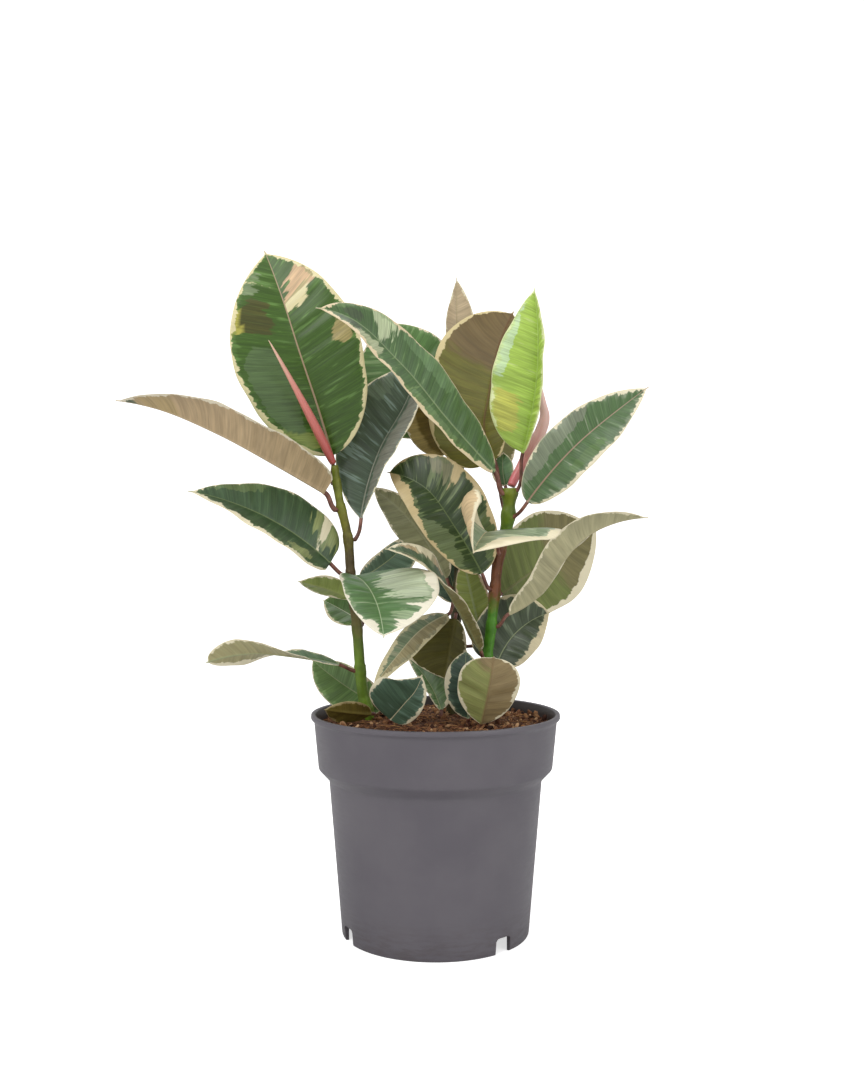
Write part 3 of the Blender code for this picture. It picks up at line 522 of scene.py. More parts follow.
def leaf_pattern(tree):
    """What both faces of a leaf share: its surface values, and noises that run out along the side veins."""
    vein, out, seed, cream, mark, edge = [
        add(tree, "Attribute", output="Fac", attribute_name=name)
        for name in ("vein", "out", "seed", "cream", "mark", "edge")]
    broad = cell_noise(tree, vein, out, seed, 9.0, 34.0, 2.0)
    fine = cell_noise(tree, vein, out, seed, 2.6, 13.0, 3.0)
    mixed = add(tree, "Mix", {"Factor": 0.4, "A": broad, "B": fine}, data_type="FLOAT")
    band = cell_noise(tree, vein, out, seed, 3.6, 30.0, 2.0)
    streak = cell_noise(tree, vein, out, seed, 0.9, 26.0, 2.0)
    # the side veins are soft lines that wander a little
    wavy = add(tree, "Math", (broad, 1.6, vein), operation="MULTIPLY_ADD")
    away = add(tree, "Math", (wavy, VEIN_SPACING / 2), operation="PINGPONG")
    lines = add(tree, "MapRange", (away, 0.0, VEIN_WIDTH, 1.0, 0.0), interpolation_type="SMOOTHSTEP")
    away_rib = add(tree, "Math", (out,), operation="ABSOLUTE")
    return cream, mark, edge, mixed, band, streak, lines, away_rib


def shaded(tree, colour, noise, dark, light):
    """A colour made darker and lighter by a noise, between these two shares."""
    share = add(tree, "MapRange", (noise, 0.3, 0.7, dark, light), interpolation_type="SMOOTHSTEP")
    grey = add(tree, "CombineColor", (share, share, share))
    return add(tree, "Mix", {SHOWN: 1.0, BELOW: colour, ABOVE: grey}, MIXED, data_type="RGBA",
               blend_type="MULTIPLY")


def leaf_upper():
    """Rubber-plant leaf, upper face: a thick waxy cuticle, so a soft even gloss over dark green, with
    grey-green and cream sectors that break along the side veins in ragged steps."""
    material, tree, shader = new_material("waxy_leaf_upper_face", 0.36, 1.45, Coat_Weight=0.12,
                                          Coat_Roughness=0.22)
    cream, mark, edge, mixed, band, streak, lines, away_rib = leaf_pattern(tree)
    green, second, cream_tone, mark_tone, rib_tone = [
        add(tree, "Attribute", output="Color", attribute_name=name + "_tone")
        for name in ("green", "second", "cream_edge", "mark", "rib")]
    mottle = add(tree, "Attribute", output="Fac", attribute_name="mottle")
    second_shown = ragged_patch(tree, mottle, band, 12.0, 0.9)
    mark_shown = ragged_patch(tree, mark, mixed, 15.0, 0.8)
    faint = add(tree, "Math", (lines, 0.16), operation="MULTIPLY")
    # a band of grey-green shows wherever cream cells lie under green ones, just inside the cream
    nearby = ragged_patch(tree, add(tree, "Math", (cream, 1.5), operation="ADD"), band, 5.0, 1.0)
    nearby = add(tree, "Math", (nearby, 0.5), operation="MULTIPLY")
    colour = green
    for shown, tone in ((second_shown, second), (mark_shown, mark_tone), (faint, second), (nearby, second)):
        colour = add(tree, "Mix", {SHOWN: shown, BELOW: colour, ABOVE: tone}, MIXED, data_type="RGBA")
    # the streaks and bands that make the green lighter and darker, and the cream a little, are painted
    # highlight and shade of the quilted blade between its side veins
    colour = shaded(tree, colour, streak, 0.82, 1.18)
    colour = shaded(tree, colour, band, 0.88, 1.12)
    cream_shown = ragged_patch(tree, cream, mixed, 8.0, 0.4)
    streaked_cream = shaded(tree, cream_tone, streak, 0.95, 1.04)
    rim = add(tree, "MapRange", (edge, 0.3, 0.8, 0.75, 0.0), interpolation_type="SMOOTHSTEP")
    rib_width = add(tree, "Attribute", output="Fac", attribute_name="rib_width")
    rib_share = add(tree, "Math", (away_rib, rib_width), operation="DIVIDE")
    rib = add(tree, "MapRange", (rib_share, 0.55, 1.0, 0.85, 0.0), interpolation_type="SMOOTHSTEP")
    for shown, tone in ((cream_shown, streaked_cream), (rim, cream_tone), (rib, rib_tone)):
        colour = add(tree, "Mix", {SHOWN: shown, BELOW: colour, ABOVE: tone}, MIXED, data_type="RGBA")
    relief = add(tree, "Math", (lines, -0.6, streak), operation="MULTIPLY_ADD")
    finished(tree, shader, colour, relief, 0.35, 0.15)
    return material


def leaf_under():
    """Rubber-plant leaf, underside: without the upper face's wax, so matt and paler, flushed olive to tan,
    with a raised midrib."""
    material, tree, shader = new_material("matt_leaf_underside", 0.52, 1.42)
    cream, mark, edge, mixed, band, streak, lines, away_rib = leaf_pattern(tree)
    under, cream_tone, mark_tone, rib_tone = [
        add(tree, "Attribute", output="Color", attribute_name=name + "_tone")
        for name in ("under", "cream_edge", "mark", "rib")]
    mark_shown = ragged_patch(tree, mark, mixed, 12.0, 3.0)
    colour = add(tree, "Mix", {SHOWN: mark_shown, BELOW: under, ABOVE: mark_tone}, MIXED, data_type="RGBA")
    colour = shaded(tree, colour, band, 0.84, 1.13)
    colour = shaded(tree, colour, streak, 0.92, 1.08)
    faint = add(tree, "Math", (lines, 0.24), operation="MULTIPLY")
    cream_shown = ragged_patch(tree, cream, mixed, 7.0, 0.5)
    rim = add(tree, "MapRange", (edge, 0.3, 0.8, 0.6, 0.0), interpolation_type="SMOOTHSTEP")
    cream_shown = add(tree, "Math", (cream_shown, rim), operation="MAXIMUM")
    rib = add(tree, "MapRange", (away_rib, 0.4, 1.1, 0.6, 0.0), interpolation_type="SMOOTHSTEP")
    for shown, tone in ((faint, rib_tone), (cream_shown, cream_tone), (rib, rib_tone)):
        colour = add(tree, "Mix", {SHOWN: shown, BELOW: colour, ABOVE: tone}, MIXED, data_type="RGBA")
    relief = add(tree, "Math", (lines, streak), operation="ADD")
    finished(tree, shader, colour, relief, 0.4, 0.18)
    return material


def leaf_stalk():
    """Leaf stalk: smooth mauve-brown to red-brown skin, softly blotched, with a faint sheen."""
    material, tree, shader = new_material("smooth_red_leaf_stalk", 0.42, 1.45, Coat_Weight=0.1)
    place = add(tree, "TexCoord", output="Object")
    blotches = add(tree, "TexNoise", {"Vector": place, "Scale": grain(4.55), "Detail": 3.0})
    colour = add(tree, "ValToRGB", (blotches,))
    set_ramp(colour, ((0.35, "5E3A2E"), (0.55, "7E5145"), (0.72, "9A6A58")))
    finished(tree, shader, colour, blotches, 0.25, 0.2)
    return material


def stem_bark(name, stops):
    """Young stem: a thin green to olive-brown bark with a few pale pores, half matt. The stops are its
    colours at heights in millimetres."""
    material, tree, shader = new_material(name, 0.45, 1.45)
    height = add(tree, "Attribute", output="Fac", attribute_name="height")
    place = add(tree, "TexCoord", output="Object")
    # the pores are stretched up the stem
    stretched = add(tree, "Mapping", {"Vector": place, "Scale": (1, 1, 0.45)})
    pores = add(tree, "TexNoise", {"Vector": stretched, "Scale": grain(1.111), "Detail": 2.0})
    mottle = add(tree, "TexNoise", {"Vector": place, "Scale": grain(6.25), "Detail": 3.0})
    off = add(tree, "Math", (mottle, 0.5), operation="SUBTRACT")
    moved = add(tree, "Math", (off, 26.0, height), operation="MULTIPLY_ADD")
    low, high = stops[0][0], stops[-1][0]
    colour = add(tree, "ValToRGB", (add(tree, "MapRange", (moved, low, high, 0.0, 1.0)),))
    set_ramp(colour, [((at - low) / (high - low), tone) for at, tone in stops])
    colour = shaded(tree, colour, mottle, 0.75, 1.15)
    spots = add(tree, "MapRange", (pores, 0.66, 0.76, 0.0, 0.45), interpolation_type="SMOOTHSTEP")
    colour = add(tree, "Mix", {SHOWN: spots, BELOW: colour, ABOVE: linear("9A8C5A")}, MIXED, data_type="RGBA")
    finished(tree, shader, colour, pores, 0.4, 0.3)
    return material


def sheath_skin(name, low, middle, tip):
    """Rolled bud scale: a thin smooth skin, deeper pink at its foot and paler to the tip, with fine
    lengthwise lines."""
    material, tree, shader = new_material(name, 0.35, 1.45, Coat_Weight=0.15, Subsurface_Weight=0.08,
                                          Subsurface_Scale=2 * MM)
    run, turn = [add(tree, "Attribute", output="Fac", attribute_name=key) for key in ("run", "turn")]
    # 22 lines round the bud, each a third of its length
    place = add(tree, "CombineXYZ", (add(tree, "Math", (turn, 22.0), operation="MULTIPLY"),
                                     add(tree, "Math", (run, 3.0), operation="MULTIPLY")))
    lines = add(tree, "TexNoise", {"Vector": place, "Scale": 1.0, "Detail": 2.0})
    off = add(tree, "Math", (lines, 0.5), operation="SUBTRACT")
    colour = add(tree, "ValToRGB", (add(tree, "Math", (off, 0.35, run), operation="MULTIPLY_ADD"),))
    set_ramp(colour, ((0.05, low), (0.55, middle), (0.98, tip)))
    finished(tree, shader, colour, lines, 0.3, 0.2)
    return material


def pot_plastic(name, light, dark, mark, earth):
    """Injection-moulded polypropylene, grey with a warm cast: satin, very finely grained, with faint handling
    marks and a little dried earth towards the foot."""
    material, tree, shader = new_material(name, 0.43, 1.49)
    place = add(tree, "TexCoord", output="Object")
    height = add(tree, "SeparateXYZ", (place,), 2)
    # the mould's own grain is finer than this, and is drawn as coarse as it needs to be to show
    texture = add(tree, "TexNoise", {"Vector": place, "Scale": grain(0.385), "Detail": 2.0})
    cloud = add(tree, "TexNoise", {"Vector": place, "Scale": grain(45.5), "Detail": 4.0})
    # handling marks run round the pot, so they are flattened
    wide = add(tree, "Mapping", {"Vector": place, "Scale": (1, 1, 5)})
    marks = add(tree, "TexNoise", {"Vector": wide, "Scale": grain(11.1), "Detail": 5.0, "Roughness": 0.7})
    clouded = add(tree, "MapRange", (cloud, 0.3, 0.7, 0.0, 1.0), interpolation_type="SMOOTHSTEP")
    rubbed = add(tree, "MapRange", (marks, 0.62, 0.78, 0.0, 0.25), interpolation_type="SMOOTHSTEP")
    low_down = add(tree, "MapRange", (height, 0.0, 30 * MM, 0.55, 0.0), interpolation_type="SMOOTHSTEP")
    patchy = add(tree, "MapRange", (marks, 0.35, 0.7, 0.0, 1.0), interpolation_type="SMOOTHSTEP")
    foot = add(tree, "Math", (low_down, patchy), operation="MULTIPLY")
    colour = linear(dark)
    for shown, tone in ((clouded, light), (rubbed, mark), (foot, earth)):
        colour = add(tree, "Mix", {SHOWN: shown, BELOW: colour, ABOVE: linear(tone)}, MIXED, data_type="RGBA")
    gloss = add(tree, "MapRange", (marks, 0.3, 0.8, 0.38, 0.5))
    tree.links.new(gloss, shader.inputs["Roughness"])
    finished(tree, shader, colour, texture, 0.12, 0.1)
    return material


def peat():
    """Peat and coir: crumbly, dry and matt, in reddish browns."""
    material, tree, shader = new_material("peat_and_coir_mix", 0.95, 1.4)
    place = add(tree, "TexCoord", output="Object")
    crumbs = add(tree, "TexNoise", {"Vector": place, "Scale": grain(2.38), "Detail": 5.0, "Roughness": 0.7})
    colour = add(tree, "ValToRGB", (crumbs,))
    set_ramp(colour, ((0.34, "241208"), (0.5, "5A3822"), (0.66, "946844")))
    finished(tree, shader, colour, crumbs, 0.9, 0.6)
    return material


def crumb_skin(name, tones, roughness):
    """Loose crumbs or fibres: each piece takes its own brown, with a fine rough break on its faces."""
    material, tree, shader = new_material(name, roughness, 1.45)
    own = add(tree, "Attribute", output="Fac", attribute_name="tone")
    colour = add(tree, "ValToRGB", (own,))
    set_ramp(colour, [(i / (len(tones) - 1), tone) for i, tone in enumerate(tones)])
    place = add(tree, "TexCoord", output="Object")
    grit = add(tree, "TexNoise", {"Vector": place, "Scale": grain(0.667), "Detail": 3.0})
    colour = shaded(tree, colour, grit, 0.65, 1.25)
    finished(tree, shader, colour, grit, 0.7, 0.3)
    return material


def white_paper():
    """Matt white paper: no shine and a faint tooth, lit evenly so that it reads as plain white."""
    material, tree, shader = new_material("white_matt_paper", 0.9, 1.45)
    place = add(tree, "TexCoord", output="Object")
    # paper's tooth is far finer than this, and is drawn as coarse as it needs to be to show
    tooth = add(tree, "TexNoise", {"Vector": place, "Scale": grain(2.5), "Detail": 2.0})
    colour = add(tree, "Mix", {SHOWN: tooth, BELOW: linear("F7F7F7"), ABOVE: linear("FDFDFD")}, MIXED,
                 data_type="RGBA")
    # the paper throws less light back on the plant than its white shows, as a set shaded by flags does
    seen = add(tree, "LightPath", output="Is Camera Ray")
    colour = add(tree, "Mix", {SHOWN: seen, BELOW: linear("E2E2E2"), ABOVE: colour}, MIXED, data_type="RGBA")
    finished(tree, shader, colour, tooth, 0.05, 0.1)
    shader.inputs["Emission Color"].default_value = linear("FFFFFF")
    glow = add(tree, "Math", (seen, PAPER_GLOW), operation="MULTIPLY")
    tree.links.new(glow, shader.inputs["Emission Strength"])
    return material


# ---- meshes ----
def piece_from(name, mesh, nodes):
    """A finished piece on the one body, standing for these CAD nodes."""
    made = bpy.data.objects.new(name, mesh)
    bpy.context.scene.collection.objects.link(made)
    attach(made, "root")
    if nodes:
        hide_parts(*nodes)
    return made


def placed(places):
    """Millimetres about the pot's axis to metres about the origin, kept inside the whole CAD part's box."""
    return np.clip((np.asarray(places, float) + (*POT_AXIS, 0)) * MM, CAD_LOW, CAD_HIGH)


def mesh_of(name, places, faces, materials, finish=None, columns=None, colours=None):
    """A smooth mesh with a material number for each face, and named values and colours for each point."""
    mesh = bpy.data.meshes.new(name)
    mesh.from_pydata(placed(places).tolist(), [], faces)
    for material in materials:
        mesh.materials.append(material)
    if finish is not None:
        mesh.polygons.foreach_set("material_index", np.asarray(finish, np.int32))
    for key, values in (columns or {}).items():
        layer = mesh.attributes.new(key, "FLOAT", "POINT")
        layer.data.foreach_set("value", np.asarray(values, np.float32))
    for key, values in (colours or {}).items():
        layer = mesh.attributes.new(key, "FLOAT_COLOR", "POINT")
        layer.data.foreach_set("color", np.asarray(values, np.float32).ravel())
    mesh.shade_smooth()
    mesh.validate()
    return mesh


def ring_faces(rows, count, start=0):
    """Quads between rings of points that follow one another."""
    faces = []
    for row in range(rows - 1):
        low = start + row * count
        for i in range(count):
            j = (i + 1) % count
            faces.append((low + i, low + j, low + count + j, low + count + i))
    return faces


def closed_tube(rows, sides, start=0):
    """The faces of a tube made of rings, with a cap on each end."""
    faces = ring_faces(rows, sides, start)
    faces.append(tuple(range(start + sides - 1, start - 1, -1)))
    faces.append(tuple(range(start + (rows - 1) * sides, start + rows * sides)))
    return faces


def turned_faces(rings, closed):
    """Faces between the rings of a turned shape, and the ring that each starts from.

    A ring of one point lies on the axis. A closed shape goes on from its last ring to its first.
    """
    starts = [0]
    for ring in rings:
        starts.append(starts[-1] + len(ring))
    sides = max(len(ring) for ring in rings)
    faces, ring_of = [], []
    for k in range(len(rings) if closed else len(rings) - 1):
        n = (k + 1) % len(rings)
        for i in range(sides):
            j = (i + 1) % sides
            low = [starts[k] + i % len(rings[k]), starts[k] + j % len(rings[k])]
            high = [starts[n] + j % len(rings[n]), starts[n] + i % len(rings[n])]
            corners = list(dict.fromkeys(low + high))
            if len(corners) > 2:
                faces.append(corners)
                ring_of.append(k)
    return faces, ring_of


def sideways(ways):
    """Two ways across a path, turned as little as possible from place to place."""
    across = unit(np.cross(ways[0], (0.31, 0.95, 0.05)))
    pairs = []
    for way in ways:
        across = unit(across - way * (across @ way))
        pairs.append((across, np.cross(way, across)))
    return pairs


def tube(line, ways, radii, sides, ripple=None):
    """Points of a round tube along a path, ring by ring."""
    turns = np.linspace(0, 2 * math.pi, sides, endpoint=False)
    points = []
    for row, (place, radius, (across, beside)) in enumerate(zip(line, radii, sideways(ways))):
        ring = radius * np.ones(sides) if ripple is None else radius * ripple(row, turns)
        outward = np.cos(turns)[:, None] * across + np.sin(turns)[:, None] * beside
        points.append(place + ring[:, None] * outward)
    return np.concatenate(points)


def swell(place, centre, width):
    """A smooth rise to 1 at the centre."""
    return np.exp(-((place - centre) / width) ** 2)


# ---- leaves ----
def patch_reach(patch, share, out_share, length, wide, side):
    """How far inside a rounded patch a place is, in millimetres, below 0 outside."""
    patch_side, start, end, inner, outer = patch[:5]
    if patch_side not in (0, side):
        return np.full(share.shape, OUTSIDE)
    # a patch that starts at the midrib or ends at the margin is cut off there, not rounded
    centre = 0 if inner <= 0 else 1 if outer >= 1 else (inner + outer) / 2
    half = max(outer - centre, centre - inner) if outer - inner < 1 else 3.0
    along_it = np.abs(share - (start + end) / 2) / ((end - start) / 2)
    across_it = np.abs(out_share - centre) / half
    reach = np.minimum((end - start) / 2 * length, 3 * half * wide)
    squareness = 2.6
    return (1 - (along_it**squareness + across_it**squareness) ** (1 / squareness)) * reach


def stalk_rings(leaf, base, heading, face, turns):
    """Rings of the leaf's stalk, from inside the stem's skin to the blade's base."""
    stalk, ways = petiole_path(leaf, base, heading, STALK_ROWS)
    thick_foot = leaf.get("stalk", PETIOLE_RADIUS)
    if leaf["stem"] == "soil":
        inward = np.array([0, 0, -3.0])
    else:
        inward = -unit(ways[0] * (1, 1, 0)) * (thick_foot + 1.2)
    stalk = np.concatenate([[stalk[0] + inward], stalk])
    ways = np.concatenate([[ways[0]], ways])
    rings = []
    for place, way in zip(stalk[::-1], ways[::-1]):
        face = unit(face - way * (face @ way))
        beside = np.cross(way, face)
        away = np.linalg.norm(place - stalk[0])
        radius = thick_foot * (0.96 + 0.3 * swell(away, 0, 3.5))
        rings.append(place + radius * (np.cos(turns)[:, None] * beside + np.sin(turns)[:, None] * face))
    return np.array(rings[::-1])


def leaf_piece(name, skins):
    """A leaf in one closed mesh: its stalk, and a blade with a midrib, quilted side veins and wavy margin."""
    leaf = LEAVES[name]
    coat = {**PLAIN_COAT, **COATS[name]}
    dice = np.random.default_rng(sum(ord(c) * (i + 3) for i, c in enumerate(name)))
    # rows gather towards both ends, where the outline turns fastest
    even = np.linspace(0, 1, BLADE_ROWS)
    shares = even + 0.07 * np.sin(-2 * math.pi * even) / (2 * math.pi) * 2
    shares[0], shares[-1] = 0, 1
    middle, heading, upward, right = blade_frame(leaf, shares)
    length = np.linalg.norm(np.diff(middle, axis=0), axis=1).sum()
    run = shares * length
    bulge = np.sin(math.pi * shares)  # 0 at the base and the tip, 1 between
    reach = np.maximum(fullness(leaf, shares)[:, None] * along([leaf["half"]], shares), 0.3)
    fold = both_halves(leaf["fold"], shares)
    curl = both_halves(leaf.get("curl", 0), shares)
    rib = np.clip(1.08 - shares, 0.12, 1)
    phases = dice.uniform(0, 2 * math.pi, 8)

    def column_reach(column, wide):
        """How far out a column is: close-set beside the midrib, then spread to the margin."""
        close = len(RIB_COLUMNS)
        if column < close:
            return np.minimum(RIB_COLUMNS[column], wide * (column / HALF_COLUMNS))
        first = np.minimum(RIB_COLUMNS[-1], wide * (close - 1) / HALF_COLUMNS)
        share_left = (column - close + 1) / (HALF_COLUMNS - close + 1)
        return first + (wide - first) * (1 - (1 - share_left) ** 1.25)

    def half(side):
        """Places and values on one half, from the midrib out, for the upper and the lower face."""
        index = 0 if side < 0 else 1
        wobble = 0.011 * np.sin(run / 9 + phases[index]) + 0.008 * np.sin(run / 4.7 + phases[index + 2])
        wide = reach[:, index] * (1 + wobble * bulge)
        margins = coat["left" if side < 0 else "right"]
        margin = np.interp(shares, np.linspace(0, 1, len(margins)), margins)
        top, low, values, tones = [], [], [], []
        for column in range(HALF_COLUMNS + 1):
            out = column_reach(column, wide)
            t_out = out / wide
            turn = (curl[:, index] - fold[:, index] * LEVELLING) * t_out**2
            place, way = half_offset(out, side, fold[:, index] * SPINE_FOLD, turn, upward, right)
            place = middle + place
            by_rib = np.clip(1 - out / RIB_COLUMNS[-1], 0, 1)[:, None]
            way = way * (1 - by_rib) + upward * by_rib

            vein = run - VEIN_SLANT * (0.6 + 1.6 * shares**3) * out
            calm = np.clip(out / 6, 0, 1) * np.clip((1.02 - t_out) * 5, 0, 1) * bulge ** 0.5
            pillows = 0.6 * np.sin(2 * math.pi * vein / (QUILT_SPACING * 0.61) + phases[5])
            pillows = np.sin(2 * math.pi * vein / QUILT_SPACING + phases[4]) + pillows
            waves = 0.7 * np.sin(run / 7.5 + phases[6 + index]) + 0.5 * np.sin(run / 4.1 + phases[index])
            frill = t_out**3 * bulge * min(1, length / 100) * waves
            lift = QUILT_DEPTH * calm * pillows + frill
            inside_margin = np.clip((1 - t_out) * 6, 0, 1)
            thick = (MARGIN_THICKNESS + (BLADE_THICKNESS - MARGIN_THICKNESS) * inside_margin) / 2
            ridge = RIB_DEPTH * rib * swell(out, 0, RIB_WIDTH * (0.45 + 0.55 * rib))
            groove = GROOVE_DEPTH * rib * swell(out, 0, GROOVE_WIDTH)
            top.append(place + (lift + thick - groove)[:, None] * way)
            low.append(place + (lift - thick - ridge)[:, None] * way)

            place_in = (np.clip(vein / length, 0, 1), t_out, length, wide, side)
            patches = [patch_reach(patch, *place_in) for patch in coat["cream"]]
            cream = np.maximum.reduce([margin - (wide - out)] + patches)
            marks = [patch_reach(patch, *place_in) for patch in coat["marks"]]
            marks = marks or [np.full(out.shape, OUTSIDE)]
            tones.append(np.argmax(marks, axis=0))
            values.append([side * out, vein, shares, wide - out, cream, np.max(marks, axis=0)])
        return np.array(top), np.array(low), np.array(values), tones

    def round_blade(edges, tops, lows):
        """Columns in order round the blade, without its first row: the stalk's last ring stands for that."""
        columns = [edges[0], *tops[0][::-1], *tops[1][1:], edges[1], *lows[1][::-1], *lows[0][1:]]
        return np.stack(columns, axis=1)[1:]

    tops, lows, values, tones = zip(half(-1), half(1))
    edges = [(top[-1] + low[-1]) / 2 + side * MARGIN_ROUNDING * right
             for side, top, low in zip((-1, 1), tops, lows)]
    blade = round_blade(edges, tops, lows)
    values = [half_values.transpose(0, 2, 1) for half_values in values]
    blade_values = round_blade([half_values[-1] for half_values in values], values, values)
    blade_tones = round_blade([half_tones[-1] for half_tones in tones], tones, tones)
    count = blade.shape[1]
    upper_columns = 2 * HALF_COLUMNS + 2
    if coat["marks_on"] == "upper":
        blade_values[:, upper_columns + 1:, MARK_COLUMN] = OUTSIDE
    elif coat["marks_on"] == "under":
        blade_values[:, 1:upper_columns, MARK_COLUMN] = OUTSIDE

    # the stalk's round rings have as many points as the blade's rows
    fanned = np.linspace(0, 1, upper_columns + 1)
    turns = np.concatenate([math.pi * (1 - fanned), -math.pi * fanned[1:-1]])
    rings = stalk_rings(leaf, middle[0], heading[0], upward[0], turns)
    stalk_values = np.zeros((len(rings), count, len(LEAF_VALUES)))
    stalk_values[..., 3:] = (9.0, OUTSIDE, OUTSIDE)  # far from the margin, cream and marks
    points = np.concatenate([rings, blade]).reshape(-1, 3)
    table = np.concatenate([stalk_values, blade_values]).reshape(-1, len(LEAF_VALUES))
    upper_skin, under_skin, stalk_skin = range(3)
    across_blade = [upper_skin] * upper_columns + [under_skin] * (count - upper_columns)
    finish = [stalk_skin] * (count * (len(rings) - 1)) + across_blade * len(blade) + [stalk_skin, upper_skin]

    columns = dict(zip(LEAF_VALUES, table.T))
    columns["mottle"] = np.full(len(points), coat["mottle"])
    columns["rib_width"] = (0.25 + length / 190) * (1 - 0.72 * columns["run"])
    columns["seed"] = np.full(len(points), dice.uniform(0, 50))
    colours = {key + "_tone": np.tile(linear(coat[key]), (len(points), 1))
               for key in ("green", "second", "cream_edge", "under", "rib")}
    palette = np.array([linear(patch[5]) for patch in coat["marks"]] or [linear(coat["second"])])
    stalk_tones = np.zeros(len(rings) * count, int)
    colours["mark_tone"] = palette[np.concatenate([stalk_tones, blade_tones.ravel()])]
    faces = closed_tube(len(rings) + len(blade), count)
    mesh = mesh_of(f"rubber_leaf_{name}", points, faces, skins, finish, columns, colours)
    return piece_from(f"rubber_leaf_{name}", mesh, [f"leaf_{name}"])


# ---- stems and bud sheaths ----
def stem_piece(name, bark):
    """A stem with a raised scar over each leaf and a slight waist above it."""
    rows = STEMS[name]
    nodes_at = sorted(leaf["node"] for leaf in LEAVES.values() if leaf["stem"] == name)
    sunk_foot = np.array(rows[0][1], float) - (0, 0, 4)
    line, ways = smooth_path([sunk_foot] + [point for _, point in rows], np.linspace(0, 1, STEM_ROWS))
    radii = np.interp(line[:, 2], [point[2] for _, point in rows], [radius for radius, _ in rows])
    for node in nodes_at:
        scar, joint = swell(line[:, 2], node + 3.2, 1.1), swell(line[:, 2], node - 0.5, 3.5)
        radii = radii + 0.35 * scar + 0.5 * joint - 0.15 * swell(line[:, 2], node + 6, 2.5)
    rounded_top = [0.98, 0.93, 0.82]
    radii[-len(rounded_top):] *= rounded_top
    dice = np.random.default_rng(len(name) + 40)
    phases = dice.uniform(0, 2 * math.pi, 3)

    def ripple(row, turns):
        return 1 + 0.012 * np.sin(3 * turns + phases[0] + row / 17) + 0.008 * np.sin(7 * turns + phases[1])

    points = tube(line, ways, radii, STEM_SIDES, ripple)
    height = np.repeat(line[:, 2], STEM_SIDES)
    faces = closed_tube(len(line), STEM_SIDES)
    mesh = mesh_of(f"woody_stem_{name}", points, faces, [bark], columns={"height": height})
    return piece_from(f"woody_stem_{name}", mesh, [f"stem_{name}"])


def sheath_piece(name, skin):
    """A rolled bud scale, whose overlap runs round the bud once as a low step."""
    sheath = SHEATHS[name]
    shares = np.linspace(0, 1, SHEATH_ROWS)
    line, ways = smooth_path(sheath["line"], shares)
    radii = along(sheath["radii"], shares)[:, 0] * np.interp(shares, [0, 0.03, 0.97, 1], [0.9, 1, 1, 0.7])

    def ripple(row, turns):
        return 0.93 + 0.1 * ((turns / (2 * math.pi) + shares[row] * 0.35) % 1)

    points = tube(line, ways, radii, SHEATH_SIDES, ripple)
    faces = closed_tube(SHEATH_ROWS, SHEATH_SIDES)
    columns = {"run": np.repeat(shares, SHEATH_SIDES),
               "turn": np.tile(np.linspace(0, 1, SHEATH_SIDES), SHEATH_ROWS)}
    mesh = mesh_of(f"rolled_bud_{name}", points, faces, [skin], columns=columns)
    return piece_from(f"rolled_bud_{name}", mesh, [f"bud_sheath_{name}"])


# ---- the pot ----
def pot_outline():
    """(radius, height) up the wall's outer face, over the lip, down its inner face, and under the floor."""
    foot_inside = BASE_RADIUS - WALL
    floor_top = FLOOR_UNDERSIDE + FLOOR_THICKNESS
    foot = [(foot_inside - 0.6, 0), (BASE_RADIUS - 0.8, 0), (BASE_RADIUS - 0.2, 0.35), (BASE_RADIUS, 0.9),
            (BASE_RADIUS + 0.4, 5)]
    wall = [(BASE_RADIUS + 0.4 + 8.4 * t, 5 + 99.2 * t) for t in np.linspace(0.04, 0.98, 22)]
    ledge = [(72.65, 104.5), (72.9, 105.0), (75, 107.25), (77, 109.4), (78.9, COLLAR_FOOT - 1.1),
             (79.45, COLLAR_FOOT - 0.45), (79.75, COLLAR_FOOT + 0.1)]
    collar = [(79.8 + 3.0 * t, COLLAR_FOOT + 31.1 * t) for t in np.linspace(0.04, 0.97, 10)]
    lip = [(82.8, 143.6), (83.2, 144.5), (84.0, 145.2), (84.7, 145.8), (RIM_RADIUS, 146.4),
           (RIM_RADIUS, 147.4), (RIM_RADIUS - 0.1, 148.2), (84.8, 148.75), (84.4, POT_HEIGHT),
           (83.4, POT_HEIGHT), (82.6, POT_HEIGHT), (82.15, 148.8), LIP_INSIDE]
    inner = [(81.0, 143.0), (79.6, 128.5), (78.2, 114.4), (76.6, 112.0), (71.4, 106.4), (70.9, 104.0),
             (68, 60), (64.6, floor_top + 2.2), (62.6, floor_top)]
    floor = [(30, floor_top), (0, floor_top), (0, FLOOR_UNDERSIDE), (30, FLOOR_UNDERSIDE),
             (foot_inside - 0.3, FLOOR_UNDERSIDE), (foot_inside - 0.45, 6)]
    return foot + wall + ledge + collar + lip + inner + floor


def notch_top(turn):
    """How high the foot ring is cut away at this angle, in degrees."""
    cut = 0.0
    corner = NOTCH_WIDTH / 5
    half = NOTCH_WIDTH / 2
    for angle in NOTCH_ANGLES:
        off = (turn - (angle - 90) + 180) % 360 - 180
        aside = abs(math.radians(off)) * BASE_RADIUS
        if aside < half:
            sunk = max(0, aside - (half - corner))
            cut = max(cut, NOTCH_HEIGHT - corner + math.sqrt(max(0, corner**2 - sunk**2)))
    return cut


def weld(mesh):
    """Joins points that fall together, and clears the slivers that leaves."""
    shape = bmesh.new()
    shape.from_mesh(mesh)
    bmesh.ops.remove_doubles(shape, verts=shape.verts, dist=0.005 * MM)
    bmesh.ops.dissolve_degenerate(shape, edges=shape.edges, dist=0.004 * MM)
    bmesh.ops.recalc_face_normals(shape, faces=shape.faces)
    shape.to_mesh(mesh)
    shape.free()


